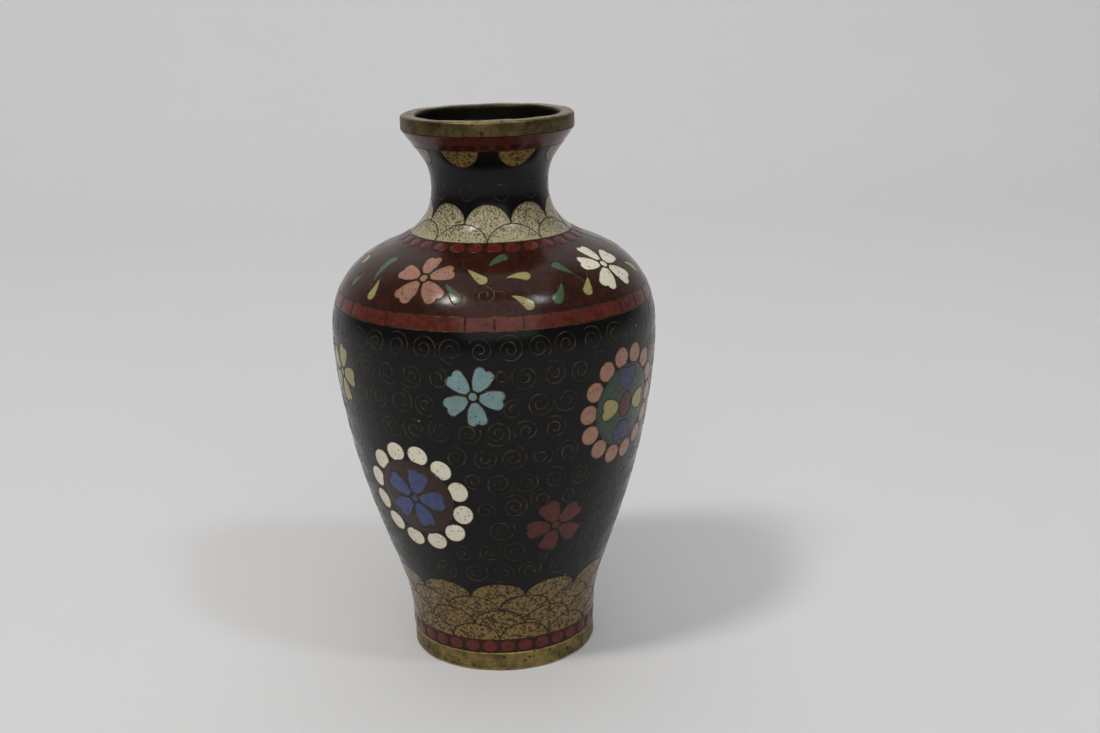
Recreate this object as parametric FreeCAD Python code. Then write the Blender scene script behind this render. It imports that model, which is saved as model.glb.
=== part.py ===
"""Cloisonne vase: a spun copper body between a brass rim and a brass foot, covered with
glass enamel in cells of soldered brass wire.

Millimetres and degrees. The origin is the middle of the standing face, +Z is up, and an
azimuth of 0 faces -Y and grows towards +X.
"""
import FreeCAD, Part

import math
import os

from FreeCAD import Vector

# Overall sizes
HEIGHT = 90.0
FOOT_R = 15.5
BELLY_R = 26.45
NECK_R = 9.4
RIM_R = 13.95

# Metal parts
FOOT_RING_H = 3.3
FOOT_RING_BORE_R = 13.2
FOOT_ROUND = 0.6
RIM_H = 2.4
RIM_BORE_R = 11.45
RIM_ROUND = 0.55
SOCKET = 1.2
SOLDER_GAP = 0.03
COPPER_T = 0.9
BASE_PLATE_T = 0.8

# Enamel and wire
ENAMEL_T = 0.6
LINING_T = 0.3
BASE_ENAMEL_T = 0.3
WIRE_T = 0.2

# Levels, in percent of the height
LIP_LEVEL = 94.8
NECK_DOT_LEVEL = 87.1
COLLAR_UPPER_LEVEL = 85.1
COLLAR_LOWER_LEVEL = 81.8
COLLAR_LEVEL = 79.2
SHOULDER_FLOWER_LEVEL = 74.7
VINE_LEVEL = 72.6
BAND_TOP_LEVEL = 69.55
BAND_BOTTOM_LEVEL = 67.05
FOOT_SCALE_LEVEL = 18.4
BEAD_LEVEL = 6.35

# Numbers of pieces around
LIP_DROPS = 8
NECK_RINGS = 11
COLLAR_SCALES = 9
COLLAR_BEADS = 30
BAND_TILES = 36
FOOT_SCALES = 12
FOOT_SCALE_ROWS = 4
FOOT_BEADS = 33
WHITE_MEDALLION_PETALS = 12
PINK_MEDALLION_PETALS = 14
FLOWER_PETALS = 5

# Sizes of the figures
LIP_DROP_R = 3.1
NECK_RING_R = 1.15
COLLAR_SCALE_RISE = 3.1
FOOT_SCALE_RISE = 2.75
BEAD_R = 0.93
BEAD_GAP = 0.1
SHOULDER_FLOWER_R = 4.9
BODY_FLOWER_R = 4.7
FLOWER_PETAL_W = 2.9
FLOWER_EYE_R = 0.6
LEAF_HEAD_R = 0.8
LEAF_BEND = 0.7
VINE_R = 1.9
VINE_EYE_R = 0.35
VINE_TURNS = 1.9
MEDALLION_R = 10.0
MEDALLION_DISC_R = 6.7
MEDALLION_PETAL_W = 3.1
BLUE_PETAL_R = 5.3
BLUE_PETAL_W = 3.2
HEART_W = 3.0
HEART_H = 4.2
LOBE_ROOT_R = 2.0
LOBE_R = 5.4
LOBE_W = 3.4
CAP_ROOT_R = 2.8
CAP_R = 6.1
CAP_W = 4.6

# Where rows start around the vase, and how flowers are turned, in degrees
LIP_DROP_START = -23.0
NECK_DOT_START = -22.0
COLLAR_LOWER_START = 17.0
COLLAR_UPPER_START = -3.0
BEAD_START = 1.5
FOOT_SCALE_START = -3.0
PINK_FLOWER, PINK_FLOWER_TWIST = -30.0, -5.0
WHITE_FLOWER, WHITE_FLOWER_TWIST = 55.8, 0.0
VINE, VINE_TWIST = -3.2, 40.0
BLUE_FLOWER_TWIST = 18.0
TURQUOISE_TWIST = 28.0
RED_TWIST = 50.0
YELLOW_TWIST = 20.0

# How the curves are drawn
EDGE_STEP = 0.05
SHEET_R = 20.0
OVERHANG = 1.5
GROUND_SECTORS = 4
VINE_STEPS = 14
WIRE_OVERLAP = 0.45 * WIRE_T
PETAL_ROOT_R = FLOWER_EYE_R + 2.2 * WIRE_T
SLIVER_AREA = 0.05
EDGE_TOLERANCE = 0.0002

FULL_TURN = 360.0
HALF_TURN = 180.0


def level(percent):
    """Height of a level given in percent of the whole height."""
    return HEIGHT * percent / 100.0


FOOT_TOP = FOOT_RING_H
RIM_BOTTOM = HEIGHT - RIM_H
LIP_Z = level(LIP_LEVEL)
COLLAR_Z = level(COLLAR_LEVEL)
BAND_TOP_Z = level(BAND_TOP_LEVEL)
BAND_BOTTOM_Z = level(BAND_BOTTOM_LEVEL)
BEAD_TOP_Z = level(BEAD_LEVEL)


# ---------------------------------------------------------------- the vase's outline

def between(low, high, share):
    return low + (high - low) * share


def outline_stations():
    """Height and radius of the outer surface, from the foot ring's top to the rim."""
    body = [(10.0, 0.028), (17.8, 0.211), (33.3, 0.633), (48.9, 0.908), (60.6, 1.0)]
    shoulder = [(66.7, 0.968), (71.7, 0.838), (75.6, 0.600), (78.9, 0.236), (81.7, 0.079),
                (87.2, 0.0)]
    lip = [(92.2, 0.242), (95.0, 0.638)]
    stations = [(FOOT_TOP, FOOT_R - EDGE_STEP)]
    stations += [(level(p), between(FOOT_R, BELLY_R, share)) for p, share in body]
    stations += [(level(p), between(NECK_R, BELLY_R, share)) for p, share in shoulder]
    stations += [(level(p), between(NECK_R, RIM_R, share)) for p, share in lip]
    stations.append((RIM_BOTTOM, RIM_R - 2 * EDGE_STEP))
    return stations


def spline(points, marks):
    """A smooth curve that leaves the foot upright and meets the rim at its flare."""
    curve = Part.BSplineCurve()
    flare = points[-1] - points[-2]
    curve.interpolate(Points=points, Parameters=marks, InitialTangent=Vector(0, 0, 1),
                      FinalTangent=flare.normalize(), Scale=False)
    return curve


def build_outline():
    """The outer line, seen in the YZ plane behind the axis, and its marks in mm along it."""
    points = [Vector(0, r, z) for z, r in outline_stations()]
    marks = [0.0]
    for before, after in zip(points, points[1:]):
        marks.append(marks[-1] + before.distanceToPoint(after))
    return spline(points, marks), marks


OUTLINE, MARKS = build_outline()
WALLS = {0.0: OUTLINE}


def wall(depth):
    """The line that lies a depth inside the outer surface."""
    if depth not in WALLS:
        points = []
        for mark in MARKS:
            tangent = OUTLINE.tangent(mark)[0]
            points.append(OUTLINE.value(mark) + Vector(0, -tangent.z, tangent.y) * depth)
        WALLS[depth] = spline(points, MARKS)
    return WALLS[depth]


def mark_at(z, depth=0.0):
    """How far along a wall line a height is reached. The line climbs all the way."""
    curve = wall(depth)
    low, high = MARKS[0], MARKS[-1]
    for _ in range(50):
        middle = (low + high) / 2
        if curve.value(middle).z < z:
            low = middle
        else:
            high = middle
    return (low + high) / 2


def radius_at(z, depth=0.0):
    return wall(depth).value(mark_at(z, depth)).y


# ---------------------------------------------------------------- metal and plain coats

AXIS_FOOT, AXIS = Vector(0, 0, 0), Vector(0, 0, 1)


def spin(edges):
    """Revolve a closed outline, drawn behind the axis, into a ring."""
    face = Part.Face(Part.Wire(Part.__sortEdges__(edges)))
    return face.revolve(AXIS_FOOT, AXIS, FULL_TURN)


def line(start, end):
    return Part.LineSegment(start, end).toShape()


def polygon(corners):
    """Straight edges through corners given as radius and height."""
    points = [Vector(0, r, z) for r, z in corners]
    return [line(a, b) for a, b in zip(points, points[1:])]


def coat(first, last, outer_depth=0.0, inner_depth=ENAMEL_T):
    """A ring of wall between two pairs of marks, (outer, inner), and two depths."""
    outer = wall(outer_depth).toShape(first[0], last[0])
    inner = wall(inner_depth).toShape(first[1], last[1])
    low = line(outer.firstVertex().Point, inner.firstVertex().Point)
    high = line(outer.lastVertex().Point, inner.lastVertex().Point)
    return spin([outer, inner, low, high])


def square(mark):
    """The marks of a border that is cut square to the wall."""
    return mark, mark


def flat_end(z, outer_depth=0.0, inner_depth=ENAMEL_T):
    """The marks of a border that is cut level, to seat on a flat ring."""
    return mark_at(z, outer_depth), mark_at(z, inner_depth)


def tube_edges(depth):
    return wall(depth).toShape(mark_at(FOOT_TOP, depth), mark_at(RIM_BOTTOM, depth))


def copper_body():
    """The spun wall, with straight ends that stand in the sockets of the foot and the rim."""
    inside = ENAMEL_T + COPPER_T
    foot_out, rim_out = radius_at(FOOT_TOP, ENAMEL_T), radius_at(RIM_BOTTOM, ENAMEL_T)
    foot_in, rim_in = radius_at(FOOT_TOP, inside), radius_at(RIM_BOTTOM, inside)
    foot_end, rim_end = FOOT_TOP - SOCKET, RIM_BOTTOM + SOCKET
    foot = polygon([(foot_out, FOOT_TOP), (foot_out, foot_end), (foot_in, foot_end), (foot_in, FOOT_TOP)])
    rim = polygon([(rim_out, RIM_BOTTOM), (rim_out, rim_end), (rim_in, rim_end), (rim_in, RIM_BOTTOM)])
    return spin([tube_edges(ENAMEL_T), tube_edges(inside)] + foot + rim)


def rounded(solid, radius, chosen):
    """Round the circular edges that a test chooses."""
    edges = [e for e in solid.Edges if isinstance(e.Curve, Part.Circle) and chosen(e.Curve)]
    return solid.makeFillet(radius, edges)


def foot_ring():
    """The cast foot, with a socket for the copper wall and a ledge for the base plate."""
    socket_r = radius_at(FOOT_TOP, ENAMEL_T) + SOLDER_GAP
    socket_floor = FOOT_TOP - SOCKET
    outer_r = radius_at(FOOT_TOP)
    ring = spin(polygon([
        (FOOT_RING_BORE_R, 0), (outer_r, 0), (outer_r, FOOT_TOP), (socket_r, FOOT_TOP),
        (socket_r, socket_floor), (FOOT_RING_BORE_R, socket_floor), (FOOT_RING_BORE_R, 0)]))
    return rounded(ring, FOOT_ROUND, lambda c: c.Center.z < socket_floor / 2 and c.Radius > socket_r)


def rim_ring():
    """The rim, which caps the wall: a groove in its underside takes the copper's edge."""
    groove_out = radius_at(RIM_BOTTOM, ENAMEL_T) + SOLDER_GAP
    groove_in = radius_at(RIM_BOTTOM, ENAMEL_T + COPPER_T) - SOLDER_GAP
    groove_top = RIM_BOTTOM + SOCKET
    ring = spin(polygon([
        (RIM_BORE_R, RIM_BOTTOM), (groove_in, RIM_BOTTOM), (groove_in, groove_top),
        (groove_out, groove_top), (groove_out, RIM_BOTTOM), (RIM_R, RIM_BOTTOM),
        (RIM_R, HEIGHT), (RIM_BORE_R, HEIGHT), (RIM_BORE_R, RIM_BOTTOM)]))
    return rounded(ring, RIM_ROUND, lambda c: c.Center.z > groove_top + SOLDER_GAP)


def base_plate():
    """The disc that closes the copper's foot and rests on the foot ring's ledge."""
    radius = radius_at(FOOT_TOP, ENAMEL_T + COPPER_T) - SOLDER_GAP
    return Part.makeCylinder(radius, BASE_PLATE_T, Vector(0, 0, FOOT_TOP - SOCKET))


def base_enamel():
    """Counter enamel under the base plate, inside the foot ring's bore."""
    floor = FOOT_TOP - SOCKET - BASE_ENAMEL_T
    return Part.makeCylinder(FOOT_RING_BORE_R - SOLDER_GAP, BASE_ENAMEL_T, Vector(0, 0, floor))


def lining():
    """Counter enamel inside: a coat on the copper wall and on the base plate."""
    outside = ENAMEL_T + COPPER_T
    inside = outside + LINING_T
    plate_top = FOOT_TOP - SOCKET + BASE_PLATE_T
    coat_top = plate_top + LINING_T
    foot_out, foot_in = radius_at(FOOT_TOP, outside), radius_at(FOOT_TOP, inside)
    rim_out, rim_in = radius_at(RIM_BOTTOM, outside), radius_at(RIM_BOTTOM, inside)
    foot = polygon([(foot_out, FOOT_TOP), (foot_out, plate_top), (0, plate_top), (0, coat_top),
                    (foot_in, coat_top), (foot_in, FOOT_TOP)])
    rim = polygon([(rim_out, RIM_BOTTOM), (rim_in, RIM_BOTTOM)])
    return spin([tube_edges(outside), tube_edges(inside)] + foot + rim)


# ---------------------------------------------------------------- outlines of the figures
# Each is drawn flat in its own place: x runs around the vase and y up its wall. grow is
# the wire's thickness for the outside of the wire, and 0 for the glass that it holds.

def bow(start, middle, end):
    """An arc through three points."""
    return Part.Arc(Vector(*start), Vector(*middle), Vector(*end)).toShape()


def disc(radius):
    return lambda grow: Part.Wire([Part.makeCircle(radius + grow)])


def oval(half_width, half_height):
    def draw(grow):
        wide, tall = half_width + grow, half_height + grow
        if wide >= tall:
            ellipse = Part.Ellipse(Vector(0, 0, 0), wide, tall)
        else:
            ellipse = Part.Ellipse(Vector(0, tall, 0), Vector(wide, 0, 0), Vector(0, 0, 0))
        return Part.Wire([ellipse.toShape()])
    return draw


def offset(wire, grow):
    return wire.makeOffset2D(grow) if grow else wire


def petal(inner_r, outer_r, width):
    """A petal that widens outwards along y and ends in two lobes."""
    length = outer_r - inner_r
    root = (0.14 * width, inner_r)
    flank = (0.40 * width, inner_r + 0.33 * length)
    cheek = (0.50 * width, inner_r + 0.70 * length)
    lobe = (0.30 * width, outer_r)
    cleft = (0.0, outer_r - 0.10 * length)

    def mirror(point):
        return -point[0], point[1]

    wire = Part.Wire([
        line(Vector(*mirror(root)), Vector(*root)), bow(root, flank, cheek), bow(cheek, lobe, cleft),
        bow(cleft, mirror(lobe), mirror(cheek)), bow(mirror(cheek), mirror(flank), mirror(root))])
    return lambda grow: offset(wire, grow)


def leaf(length, head_r, bend):
    """A comma leaf: a round head at the origin and a tail that curls down to its tip."""
    tail = length - head_r
    tip, left, right = (bend, -tail), (-head_r, 0.0), (head_r, 0.0)
    back = (-0.75 * head_r + 0.25 * bend, -0.45 * tail)
    belly = (0.50 * head_r + 0.25 * bend, -0.45 * tail)
    wire = Part.Wire([bow(tip, back, left), bow(left, (0.0, head_r), right), bow(right, belly, tip)])
    return lambda grow: offset(wire, grow)


def slab(width, height):
    """A straight piece of wire, or a tile between two of them."""
    x, y = width / 2, height / 2
    corners = [Vector(-x, -y), Vector(x, -y), Vector(x, y), Vector(-x, y), Vector(-x, -y)]
    return lambda grow: Part.makePolygon(corners)


def scroll():
    """A ribbon of wire wound into a spiral, starting near its middle."""
    def side(shift):
        points = []
        for step in range(VINE_STEPS + 1):
            share = step / VINE_STEPS
            angle = 2 * math.pi * VINE_TURNS * share
            radius = between(VINE_EYE_R, VINE_R, share) + shift
            points.append(Vector(radius * math.cos(angle), radius * math.sin(angle)))
        curve = Part.BSplineCurve()
        curve.interpolate(points)
        return curve.toShape(), points[0], points[-1]

    outer, outer_first, outer_last = side(WIRE_T / 2)
    inner, inner_first, inner_last = side(-WIRE_T / 2)
    wire = Part.Wire([outer, line(outer_last, inner_last), inner, line(inner_first, outer_first)])
    return lambda grow: wire


# ---------------------------------------------------------------- laying figures on the wall
# The wall is worked as a flat sheet, as long as a turn at SHEET_R and as tall as its outline
# is long. A figure is widened by SHEET_R over the wall's radius, so that it wraps to size.

def place_on_sheet(outline, azimuth, mark, twist):
    turned = outline.copy()
    turned.rotate(AXIS_FOOT, AXIS, -twist)
    stretch = FreeCAD.Matrix()
    stretch.scale(SHEET_R / OUTLINE.value(mark).y, 1, 1)
    stretch.move(Vector(math.radians(azimuth) * SHEET_R, mark, 0))
    return Part.Face(turned.transformGeometry(stretch))


def bare(start, end, first, last):
    """Bare wall between two places around the sheet and two marks."""
    corners = [(start, first), (end, first), (end, last), (start, last), (start, first)]
    return Part.Face(Part.makePolygon([Vector(*c) for c in corners]))


def limit(first, last):
    """Bare wall that reaches past both ends of the sheet, to hold figures between two marks."""
    half = math.pi * SHEET_R * OVERHANG
    return bare(-half, half, first, last)


def turn_copies(face):
    """A face and, where it crosses the sheet's end, the same face a turn away."""
    half = math.pi * SHEET_R
    copies = [face]
    for way in (-1, 1):
        if face.BoundBox.XMax * way > half or face.BoundBox.XMin * way > half:
            copy = face.copy()
            copy.translate(Vector(-way * 2 * half, 0, 0))
            copies.append(copy)
    return copies


def meets(a, b):
    return a.BoundBox.intersect(b.BoundBox)


def lay(figures, taken, limits=None):
    """Lay figures over what is still bare: returns their glass and their wire, as flat faces.

    A figure is an outline, an azimuth, a mark and a twist. taken lists what lies in front
    and grows by each figure. limits is a bare sheet that the figures may not leave."""
    glass, wire = [], []
    for outline, azimuth, mark, twist in figures:
        inner = place_on_sheet(outline(0), azimuth, mark, twist)
        outer = place_on_sheet(outline(WIRE_T), azimuth, mark, twist)
        front = [face for face in taken if meets(face, outer)]
        pane, rim = inner, outer.cut([inner] + front)
        if front:
            pane = pane.cut(front)
        if limits:
            pane, rim = pane.common(limits), rim.common(limits)
        glass += pane.Faces
        wire += rim.Faces
        taken += turn_copies(outer)
    return glass, wire


def ground(first, last, taken):
    """What is still bare between two marks, in sectors, because a face may not close on itself."""
    half, width = math.pi * SHEET_R, 2 * math.pi * SHEET_R / GROUND_SECTORS
    faces = []
    for sector in range(GROUND_SECTORS):
        start = sector * width - half
        sheet = bare(start, start + width, first, last)
        faces += sheet.cut([face for face in taken if meets(face, sheet)]).Faces
    return faces


def lay_wire(figures, taken):
    """Lay bare wires, which hold no glass."""
    faces = [place_on_sheet(outline(0), azimuth, mark, twist)
             for outline, azimuth, mark, twist in figures]
    for face in faces:
        taken += turn_copies(face)
    return faces


# ---------------------------------------------------------------- wrapping flat faces

SURFACES = {depth: Part.SurfaceOfRevolution(wall(depth), AXIS_FOOT, AXIS) for depth in (0.0, ENAMEL_T)}


def wrap_edge(edge):
    """The same edge on the wall's outside and on the copper."""
    flat = edge.Curve.toBSpline(edge.FirstParameter, edge.LastParameter)
    flat.setNotPeriodic()
    poles = [FreeCAD.Base.Vector2d(p.x / SHEET_R + math.pi, p.y) for p in flat.getPoles()]
    curve = Part.Geom2d.BSplineCurve2d()
    curve.buildFromPolesMultsKnots(poles, flat.getMultiplicities(), flat.getKnots(), False,
                                   flat.Degree, flat.getWeights())
    edges = [curve.toShape(SURFACES[depth]) for depth in (0.0, ENAMEL_T)]
    for wrapped in edges:
        wrapped.fixTolerance(EDGE_TOLERANCE)
    return edges


def wrap(face):
    """A flat face made a solid piece of the enamel layer."""
    loops = [[wrap_edge(edge) for edge in wire.OrderedEdges] for wire in [face.OuterWire]
             + [w for w in face.Wires if not w.isSame(face.OuterWire)]]
    faces = []
    for side, depth in enumerate((0.0, ENAMEL_T)):
        wires = [Part.Wire([pair[side] for pair in loop]) for loop in loops]
        skin = Part.Face(SURFACES[depth], wires[0])
        if wires[1:]:
            skin.cutHoles(wires[1:])
        skin.validate()
        faces.append(skin)
    faces += [Part.makeRuledSurface(outer, inner) for loop in loops for outer, inner in loop]
    solid = Part.Solid(Part.Shell(faces))
    if solid.Volume < 0:
        solid.reverse()
    return solid


def wrap_all(faces):
    return [wrap(face) for face in faces if face.Area > SLIVER_AREA]


# ---------------------------------------------------------------- where the figures go

def spread(count, offset=0.0):
    """Azimuths of a ring of equal pieces, between the two sides of the sheet's end."""
    step = FULL_TURN / count
    return [(offset + i * step + HALF_TURN) % FULL_TURN - HALF_TURN for i in range(count)]


def both_sides(azimuth):
    """An azimuth at the front and its twin at the back."""
    return [azimuth, azimuth - math.copysign(HALF_TURN, azimuth)]


def wall_radius(mark):
    return OUTLINE.value(mark).y


def half_pitch(mark, count):
    """Half the room that each of a ring of pieces has along the wall."""
    return math.pi * wall_radius(mark) / count


def scale_row(count, mark, rise, offset):
    """A row of scales whose wires meet at their widest."""
    half_width = half_pitch(mark, count) + WIRE_OVERLAP - WIRE_T
    return [(oval(half_width, rise), azimuth, mark, 0) for azimuth in spread(count, offset)]


def bead_row(count, mark):
    half_width = half_pitch(mark, count) - WIRE_T - BEAD_GAP
    return [(oval(half_width, BEAD_R), azimuth, mark, 0) for azimuth in spread(count, BEAD_START)]


def petal_turns(twist):
    return [twist + FULL_TURN * i / FLOWER_PETALS for i in range(FLOWER_PETALS)]


def flower(azimuth, percent, outer_r, twist):
    """Five petals and a round eye."""
    mark = mark_at(level(percent))
    shape = petal(PETAL_ROOT_R, outer_r, FLOWER_PETAL_W)
    return [(shape, azimuth, mark, turn) for turn in petal_turns(twist)] + [(disc(FLOWER_EYE_R), azimuth, mark, 0)]


def flowers(azimuth, percent, outer_r, twist):
    """A flower and its twin at the back."""
    front, back = both_sides(azimuth)
    return flower(front, percent, outer_r, twist) + flower(back, percent, outer_r, twist)


def leaf_between(tip, end, bend):
    """A leaf from its tip to its round end, each given as azimuth and percent of height."""
    tip_mark, end_mark = mark_at(level(tip[1])), mark_at(level(end[1]))
    across = math.radians(end[0] - tip[0]) * wall_radius((tip_mark + end_mark) / 2)
    up = end_mark - tip_mark
    length = math.hypot(across, up)
    share = 1 - LEAF_HEAD_R / length
    azimuth, mark = between(tip[0], end[0], share), between(tip_mark, end_mark, share)
    shape = leaf(length, LEAF_HEAD_R, bend * LEAF_BEND)
    return [(shape, side, mark, math.degrees(math.atan2(across, up))) for side in both_sides(azimuth)]


GREEN_LEAVES = [((-2.7, 76.7), (7.9, 77.5), 1), ((-20.2, 73.7), (-12.2, 71.7), -1),
                ((36.1, 74.8), (28.4, 76.1), -1), ((28.7, 73.1), (22.2, 70.9), 1),
                ((-64.7, 73.6), (-69.7, 71.7), 1), ((-57.0, 73.2), (-56.0, 76.6), 1)]
YELLOW_LEAVES = [((-12.5, 75.7), (-2.5, 74.4), -1), ((5.9, 75.3), (15.9, 74.9), 1),
                 ((7.7, 72.8), (13.9, 70.4), 1), ((39.3, 73.8), (36.8, 71.2), -1),
                 ((-50.5, 73.5), (-51.8, 70.6), 1), ((-83.0, 75.7), (-77.0, 74.6), 1),
                 ((73.0, 74.0), (78.0, 71.8), 1), ((85.0, 76.5), (92.0, 75.2), -1)]


def leaves(spots):
    figures = []
    for tip, end, bend in spots:
        figures += leaf_between(tip, end, bend)
    return figures


def around(azimuth, mark, distance, angle):
    """The azimuth and mark of a point near another, at a distance and an angle from upright."""
    near = mark + distance * math.cos(math.radians(angle))
    return azimuth + math.degrees(distance * math.sin(math.radians(angle)) / wall_radius(near)), near


def medallion_petals(azimuth, percent, count):
    """The ring of round petals, each standing on the wire of a medallion's disc."""
    centre = mark_at(level(percent))
    half_length = (MEDALLION_R - WIRE_T - MEDALLION_DISC_R) / 2
    middle_r = MEDALLION_DISC_R + half_length
    half_width = min(MEDALLION_PETAL_W / 2, math.pi * middle_r / count - WIRE_T - BEAD_GAP)
    figures = []
    for side in both_sides(azimuth):
        for i in range(count):
            angle = FULL_TURN * (i + 0.5) / count
            spot, mark = around(side, centre, middle_r, angle)
            figures.append((oval(half_width, half_length), spot, mark, angle))
    return figures


def on_medallion(azimuth, percent, shape, angles=(0,)):
    """A shape at a medallion's centre, turned to each of the angles, at the front and the back."""
    mark = mark_at(level(percent))
    return [(shape, side, mark, angle) for side in both_sides(azimuth) for angle in angles]


WHITE_MEDALLION = (-35.5, 35.8)
PINK_MEDALLION = (51.4, 50.7)
TURQUOISE_FLOWER = (-7.9, 56.2)
RED_FLOWER = (23.4, 30.2)
YELLOW_FLOWER = (-67.8, 56.4)


# ---------------------------------------------------------------- the bands, from lip to foot

LIP_MARK = mark_at(LIP_Z)
COLLAR_MARK = mark_at(COLLAR_Z)
BAND_TOP_MARK = mark_at(BAND_TOP_Z)
BAND_BOTTOM_MARK = mark_at(BAND_BOTTOM_Z)
BEAD_MARK = mark_at(BEAD_TOP_Z)


def lip_pieces():
    border = coat(square(LIP_MARK - WIRE_T), square(LIP_MARK))
    return {"lip_enamel_red": [coat(square(LIP_MARK), flat_end(RIM_BOTTOM))], "lip_border_wire": [border]}


def neck_pieces():
    """Black neck with ringed dots, speckled drops below the lip and two rows of collar scales."""
    top = LIP_MARK - WIRE_T
    limits, taken = limit(COLLAR_MARK, top), []
    lower = mark_at(level(COLLAR_LOWER_LEVEL)) - COLLAR_SCALE_RISE
    upper = mark_at(level(COLLAR_UPPER_LEVEL)) - COLLAR_SCALE_RISE
    lower_row = lay(scale_row(COLLAR_SCALES, lower, COLLAR_SCALE_RISE, COLLAR_LOWER_START), taken, limits)
    upper_row = lay(scale_row(COLLAR_SCALES, upper, COLLAR_SCALE_RISE, COLLAR_UPPER_START), taken, limits)
    drop = [(disc(LIP_DROP_R), azimuth, top, 0) for azimuth in spread(LIP_DROPS, LIP_DROP_START)]
    drops = lay(drop, taken, limits)
    dot_mark = mark_at(level(NECK_DOT_LEVEL))
    dot = disc(NECK_RING_R)
    dots = lay([(dot, azimuth, dot_mark, 0) for azimuth in spread(NECK_RINGS, NECK_DOT_START)], taken)
    return {
        "lip_drops_ochre": wrap_all(drops[0]),
        "lip_drop_wires": wrap_all(drops[1]),
        "neck_dots": wrap_all(dots[0]),
        "neck_dot_wires": wrap_all(dots[1]),
        "neck_enamel_black": wrap_all(ground(COLLAR_MARK, top, taken)),
        "collar_scales_upper": wrap_all(upper_row[0]),
        "collar_scales_lower": wrap_all(lower_row[0]),
        "collar_scale_wires": wrap_all(lower_row[1] + upper_row[1])}


def shoulder_pieces():
    """Maroon shoulder with beads under the collar, pink and white flowers and comma leaves."""
    taken = []
    beads = lay(bead_row(COLLAR_BEADS, COLLAR_MARK - BEAD_R - WIRE_T - BEAD_GAP / 2), taken)
    pink_figures = flowers(PINK_FLOWER, SHOULDER_FLOWER_LEVEL, SHOULDER_FLOWER_R, PINK_FLOWER_TWIST)
    white_figures = flowers(WHITE_FLOWER, SHOULDER_FLOWER_LEVEL, SHOULDER_FLOWER_R, WHITE_FLOWER_TWIST)
    pink, white = lay(pink_figures, taken), lay(white_figures, taken)
    green = lay(leaves(GREEN_LEAVES), taken)
    yellow = lay(leaves(YELLOW_LEAVES), taken)
    vine_mark = mark_at(level(VINE_LEVEL))
    vines = lay_wire([(scroll(), side, vine_mark, VINE_TWIST) for side in both_sides(VINE)], taken)
    return {
        "collar_beads_red": wrap_all(beads[0]),
        "collar_bead_wires": wrap_all(beads[1]),
        "shoulder_enamel_maroon": wrap_all(ground(BAND_TOP_MARK, COLLAR_MARK, taken)),
        "shoulder_flowers_pink": wrap_all(pink[0]),
        "shoulder_flowers_white": wrap_all(white[0]),
        "shoulder_leaves_green": wrap_all(green[0]),
        "shoulder_leaves_yellow": wrap_all(yellow[0]),
        "shoulder_wires": wrap_all(pink[1] + white[1] + green[1] + yellow[1] + vines)}


def band_pieces():
    """Red tiles between two border wires, parted by short upright wires."""
    low, high = BAND_BOTTOM_MARK + WIRE_T, BAND_TOP_MARK - WIRE_T
    taken = []
    upright = slab(WIRE_T, high - low)
    parting = lay_wire([(upright, azimuth, (low + high) / 2, 0) for azimuth in spread(BAND_TILES)], taken)
    borders = [coat(square(BAND_BOTTOM_MARK), square(low)), coat(square(high), square(BAND_TOP_MARK))]
    return {
        "band_tiles_red": wrap_all(ground(low, high, taken)),
        "band_wires": borders + wrap_all(parting)}


def medallion_pieces(taken):
    """The two kinds of medallion: what stands on each disc is laid before the disc."""
    eye = disc(FLOWER_EYE_R)
    blue_petal = petal(PETAL_ROOT_R, BLUE_PETAL_R, BLUE_PETAL_W)
    blue_petals = on_medallion(*WHITE_MEDALLION, blue_petal, petal_turns(BLUE_FLOWER_TWIST))
    blue = lay(blue_petals + on_medallion(*WHITE_MEDALLION, eye), taken)
    brown = lay(on_medallion(*WHITE_MEDALLION, disc(MEDALLION_DISC_R)), taken)
    white = lay(medallion_petals(*WHITE_MEDALLION, WHITE_MEDALLION_PETALS), taken)
    heart, lobe = oval(HEART_W / 2, HEART_H / 2), petal(LOBE_ROOT_R, LOBE_R, LOBE_W)
    cap = petal(CAP_ROOT_R, CAP_R, CAP_W)
    red = lay(on_medallion(*PINK_MEDALLION, heart), taken)
    yellow = lay(on_medallion(*PINK_MEDALLION, lobe, (90, -90)), taken)
    purple = lay(on_medallion(*PINK_MEDALLION, cap, (0, 180)), taken)
    green = lay(on_medallion(*PINK_MEDALLION, disc(MEDALLION_DISC_R)), taken)
    pink = lay(medallion_petals(*PINK_MEDALLION, PINK_MEDALLION_PETALS), taken)
    return {
        "medallion_petals_white": wrap_all(white[0]),
        "medallion_disc_brown": wrap_all(brown[0]),
        "medallion_flower_blue": wrap_all(blue[0]),
        "white_medallion_wires": wrap_all(blue[1] + brown[1] + white[1]),
        "medallion_petals_pink": wrap_all(pink[0]),
        "medallion_disc_green": wrap_all(green[0]),
        "medallion_caps_purple": wrap_all(purple[0]),
        "medallion_lobes_yellow": wrap_all(yellow[0]),
        "medallion_hearts_red": wrap_all(red[0]),
        "pink_medallion_wires": wrap_all(red[1] + yellow[1] + purple[1] + green[1] + pink[1])}


def foot_scale_rows(taken, limits):
    """Overlapping rows, laid from the lowest, which lies in front, to the highest."""
    top = mark_at(level(FOOT_SCALE_LEVEL)) - FOOT_SCALE_RISE
    glass, wire = [], []
    for row in range(FOOT_SCALE_ROWS):
        mark = between(BEAD_MARK, top, row / (FOOT_SCALE_ROWS - 1))
        offset = FOOT_SCALE_START + HALF_TURN / FOOT_SCALES * ((FOOT_SCALE_ROWS - 1 - row) % 2)
        panes, rims = lay(scale_row(FOOT_SCALES, mark, FOOT_SCALE_RISE, offset), taken, limits)
        glass += panes
        wire += rims
    return glass, wire


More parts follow.
